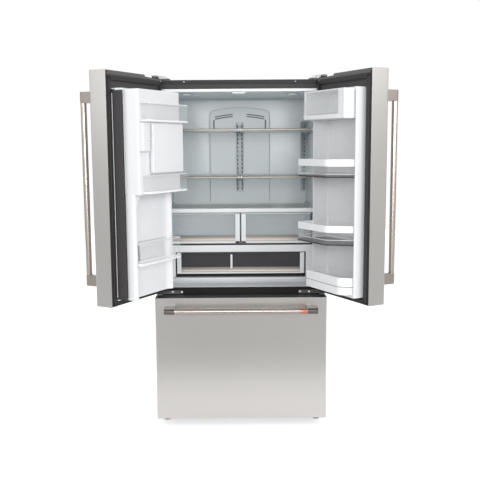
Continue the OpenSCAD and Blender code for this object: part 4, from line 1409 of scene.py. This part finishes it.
@dataclass
class RightDoor(Door):
    """The right door: recessed liner, dairy box and three bins."""

    side: str = "right"
    recess: float = -43.0

    def build(self) -> None:
        """Builds the whole door."""
        shop = self.common()
        self.inner(shop)
        self.dairy(shop)
        self.tray(shop, "right_bin_upper", 1305, 1390, 137, 76, 15.0)
        self.tray(shop, "right_bin_middle", 990, 1083, 137, 76, 24.0)
        self.low_bin(shop)

    def inner(self, shop: Workshop) -> None:
        """The liner's raised rim and its deep, rounded recess."""
        x0, x1, z0, z1 = self.liner
        solid = [(x0, -13.6), (x0, -2), (46, -2), (46, 44), (x1 - 3, 39), (x1, 36), (x1, -13.6), (391, -13.6),
                 (387, -45.4), (52, -45.4), (44, -13.6)]
        form = Form().prism(solid, Axis.Z, z0, z1, (0, 2, 3, 2, 3, 2, 0, 0, 4, 4, 0), 1.5)
        hollow = Form().prism(rectangle(53, 751, 389, 1710), Axis.Y, self.recess, 120, 20.0, 18.0)
        shop.piece(form, "right_liner", LINER_WHITE, ["right_door_liner"], [hollow], 1.4)
        pegs = Form()
        for z in (1120, 1190, 1455, 1500):
            pegs.prism(rectangle(52, z, 58, z + 16), Axis.Y, -2, 6, 1.0, 0.5)
        shop.piece(pegs, "right_liner_pegs", PART_WHITE)

    def dairy(self, shop: Workshop) -> None:
        """The dairy box and its clear tilting lid."""
        form = Form().prism([(60, -40), (60, 47), (46.5, 48), (46.5, 96), (380, 96), (380, -40)],
        Axis.Z, 1576, 1711,
                            (3, 0, 3, 3, 4, 3), 3.0)
        hollow = Form().prism(rectangle(65, 1582, 334, 1706), Axis.Y, -35, 160, 10.0, 8.0)
        shop.piece(form, "dairy_body", PART_WHITE, ["dairy_box"], [hollow], 1.0)
        lid = Form().prism([(97, 1600), (103.6, 1600), (103.6, 1605), (100.4, 1609), (100, 1704), (97, 1710)],
                           Axis.X, 50, 336, 0.8, 0.5)
        self.shop("dairy_cover").piece(lid, "dairy_flap", LID_CLEAR, ["dairy_lid"])
        lip = Form().block((48, 95, 1577), (334, 101, 1598), 1.8, 0, 3)
        shop.piece(lip, "dairy_lip", PART_WHITE)

    def plan(self, depth: float, slant: float) -> list[Point]:
        """A bin's outline, with a slanted corner on the free side."""
        return [(60, -41.5), (380, -41.5), (384, 40), (376, 46),
        (376 - slant, depth), (57, depth), (47, depth - 10),
                (47, 46.5), (57, 46.5)]

    def tray(
        self, shop: Workshop, node: str, low: float, high: float, depth: float, slant: float, base: float
    ) -> None:
        """A bin with a white rim, a clear wall and a dark base."""
        plan, radii = self.plan(depth, slant), (14, 14, 2, 8, 16, 8, 8, 2, 2)
        rim = Form().ring(plan, Axis.Z, high - 33, high, 4.5, radii, 1.6)
        shop.piece(rim, f"{node}_rim", PART_WHITE, [node])
        wall = Form().ring(plan, Axis.Z, low + 6, high - 32, 2.5, radii, 0.4)
        wall.ring(plan, Axis.Z, low + base, low + base + 3, 3.2, radii, 0.8, 1)
        shop.piece(wall, f"{node}_wall", [BIN_CLEAR, BIN_RIM])
        foot = Form().tray(plan, Axis.Z, low, low + 7.5, 3.0, radii, 1.0, 0.985)
        shop.piece(foot, f"{node}_base", BIN_DARK_BASE)

    def low_bin(self, shop: Workshop) -> None:
        """The lowest bin: a white tray under a low white wall."""
        plan, radii = self.plan(88, 36), (14, 14, 2, 8, 16, 8, 8, 2, 2)
        form = Form().tray(plan, Axis.Z, 757, 794, 3.5, radii, 1.4)
        shop.piece(form, "right_bin_lower_tray", PART_WHITE, ["right_bin_lower"])
        # A thin dark ring between tray and wall: painted shade in the gap.
        line = Form().ring(plan, Axis.Z, 793.6, 796.4, 2.6, radii, 0.3)
        shop.piece(line, "right_bin_lower_seam", SLOT_SHADE)
        wall = Form().ring(plan, Axis.Z, 796, 839, 3.4, radii, 1.0)
        shop.piece(wall, "right_bin_lower_wall", PART_WHITE)


@dataclass
class Studio:
    """The floor, the lights and the camera."""

    bounds: tuple[Vector, Vector]
    front: float
    camera_at: Point = (-3.0, -3850.6, 1452.8)
    pitch: float = 7.91
    roll: float = -0.39
    lens: float = 53.76
    deck: Point = (-7.0, -1.12, 7.0, 9.0)

    def build(self) -> None:
        """Builds all of the stage."""
        self.floor()
        self.air()
        self.light("front", (0.0, -4.6, 1.8), (0.0, 0.5, 1.35), (2.0, 1.2), 64.0)
        self.light("window", (3.0, -3.8, 2.5), (-0.4, -0.3, 1.2), (1.5, 2.2), 62.0)
        self.light("left", (-3.6, -2.6, 2.6), (0.3, -0.2, 1.2), (1.6, 2.2), 12.0)
        self.light("right", (3.6, -2.4, 2.8), (-0.3, -0.2, 1.2), (1.4, 1.6), 7.0)
        self.camera()

    def floor(self) -> None:
        """A plain pale floor, lit a little from under."""
        bm = bmesh.new()
        bmesh.ops.create_grid(bm, x_segments=1, y_segments=1, size=1.0)
        x0, y0, x1, y1 = self.deck
        move = Matrix.Translation(((x0 + x1) / 2, (y0 + y1) / 2, 0.0)) @ Matrix.Diagonal(
            ((x1 - x0) / 2, (y1 - y0) / 2, 1.0, 1.0)
        )
        bmesh.ops.transform(bm, matrix=move, verts=bm.verts)
        mesh = bpy.data.meshes.new("floor")
        bm.to_mesh(mesh)
        bm.free()
        floor = bpy.data.objects.new("floor", mesh)
        bpy.context.scene.collection.objects.link(floor)
        surface = Surface("floor_paint")
        cloud = surface.noise((1.0, 1.0, 1.0), 0.8, 2.0)
        tone = surface.blend((0.60, 0.60, 0.60), (0.63, 0.63, 0.63), cloud)
        floor.data.materials.append(surface.dress(
            Base_Color=tone, Roughness=cloud * 0.1 + 0.75, Specular_IOR_Level=0.2,
            Emission_Color=(1.0, 1.0, 1.0), Emission_Strength=0.62,
        ))
        floor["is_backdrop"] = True

    def air(self) -> None:
        """A white surround that lights from above more than from below."""
        world = bpy.data.worlds.new("studio")
        world.use_nodes = True
        sky = Graph(world.node_tree)
        way = sky.node("ShaderNodeTexCoord", None, 0)
        height = sky.node("ShaderNodeSeparateXYZ", None, 2, Vector=way)
        depth = sky.node("ShaderNodeSeparateXYZ", None, 1, Vector=way)
        across = sky.node("ShaderNodeMath", {"operation": "ABSOLUTE"}, 0, Value=sky.node(
            "ShaderNodeSeparateXYZ", None, 0, Vector=way))
        glow = sky.step(height, -0.3, 0.14, 0.7, 0.98) * (1.0 - sky.step(across, 0.94, 0.995, 0.0, 0.6))
        post = sky.step(across, 0.02, 0.11, 0.3, 0.0) * sky.step(depth, -0.2, 0.0, 1.0, 0.0)
        seen = sky.node("ShaderNodeLightPath", None, 0)
        strength = seen + (1.0 - seen) * glow * (1.0 - post * sky.step(height, -0.1, 0.15, 1.0, 0.0))
        back = world.node_tree.nodes["Background"]
        back.inputs["Color"].default_value = (1.0, 1.0, 1.0, 1.0)
        world.node_tree.links.new(strength.socket, back.inputs["Strength"])
        bpy.context.scene.world = world
        bpy.context.scene.view_settings.view_transform = "Standard"

    def light(self, name: str, at: Point, target: Point, size: Point, power: float) -> None:
        """One large softbox, aimed at a point; places are in metres."""
        data = bpy.data.lights.new(name, "AREA")
        data.shape = "RECTANGLE"
        data.size, data.size_y = size
        data.energy = power
        lamp = bpy.data.objects.new(name, data)
        lamp.location = at
        lamp.rotation_euler = (Vector(target) - Vector(at)).to_track_quat("-Z", "Y").to_euler()
        bpy.context.scene.collection.objects.link(lamp)

    def camera(self) -> None:
        """The camera at standing height in front of the open doors."""
        data = bpy.data.cameras.new("camera")
        data.lens = self.lens
        data.sensor_width = 36.0
        camera = bpy.data.objects.new("camera", data)
        x, y, z = (value * MILLIMETRE for value in self.camera_at)
        turn = Matrix.Rotation(math.radians(90 - self.pitch), 4, "X") @ Matrix.Rotation(
            math.radians(self.roll), 4, "Z"
        )
        camera.matrix_world = Matrix.Translation((x, y + self.front * MILLIMETRE, z)) @ turn
        bpy.context.scene.collection.objects.link(camera)
        bpy.context.scene.camera = camera


def cabinet_place(front: float) -> Place:
    """The cabinet's space, set back from the row's origin."""
    return Place(Matrix.Scale(MILLIMETRE, 4) @ Matrix.Translation((0, front, 0)))


def door_place(frame: dict, joint: str, mirror: bool) -> Place:
    """A closed door's space, swung to where the door stands at rest.

    Args:
        frame: The loaded frame.
        joint: The door's hinge.
        mirror: Whether the door is the right one.

    Returns:
        The door's place.
    """
    hinge = next(j for j in frame["joints"] if j["name"] == joint)
    x, y, _ = (value / MILLIMETRE for value in hinge["pos_m"])
    opened = math.radians(hinge["range_deg"][1])
    side = Matrix.Diagonal((-1, 1, 1, 1)) if mirror else Matrix.Identity(4)
    swing = Matrix.Translation((-abs(x), y, 0)) @ Matrix.Rotation(-opened, 4, "Z")
    return Place(Matrix.Scale(MILLIMETRE, 4) @ side @ swing @ Matrix.Translation((-11.5, 49.3, 0)))


def main() -> None:
    """Builds the refrigerator round the frame, then the studio."""
    logging.basicConfig(level=logging.INFO, format="%(name)s: %(message)s")
    cad_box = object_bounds()
    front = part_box("cabinet_shell")[0].y / MILLIMETRE
    home = cabinet_place(front)
    for part in (
        Casing(frame, home),
        Cooling(frame, home),
        FreshRoom(frame, home),
        Drawers(frame, home),
        Freezer(frame, home),
        LeftDoor(frame, door_place(frame, "left_door_hinge", False)),
        RightDoor(frame, door_place(frame, "right_door_hinge", True)),
    ):
        part.build()
    Studio(cad_box, front).build()


if __name__ == "__main__":
    main()
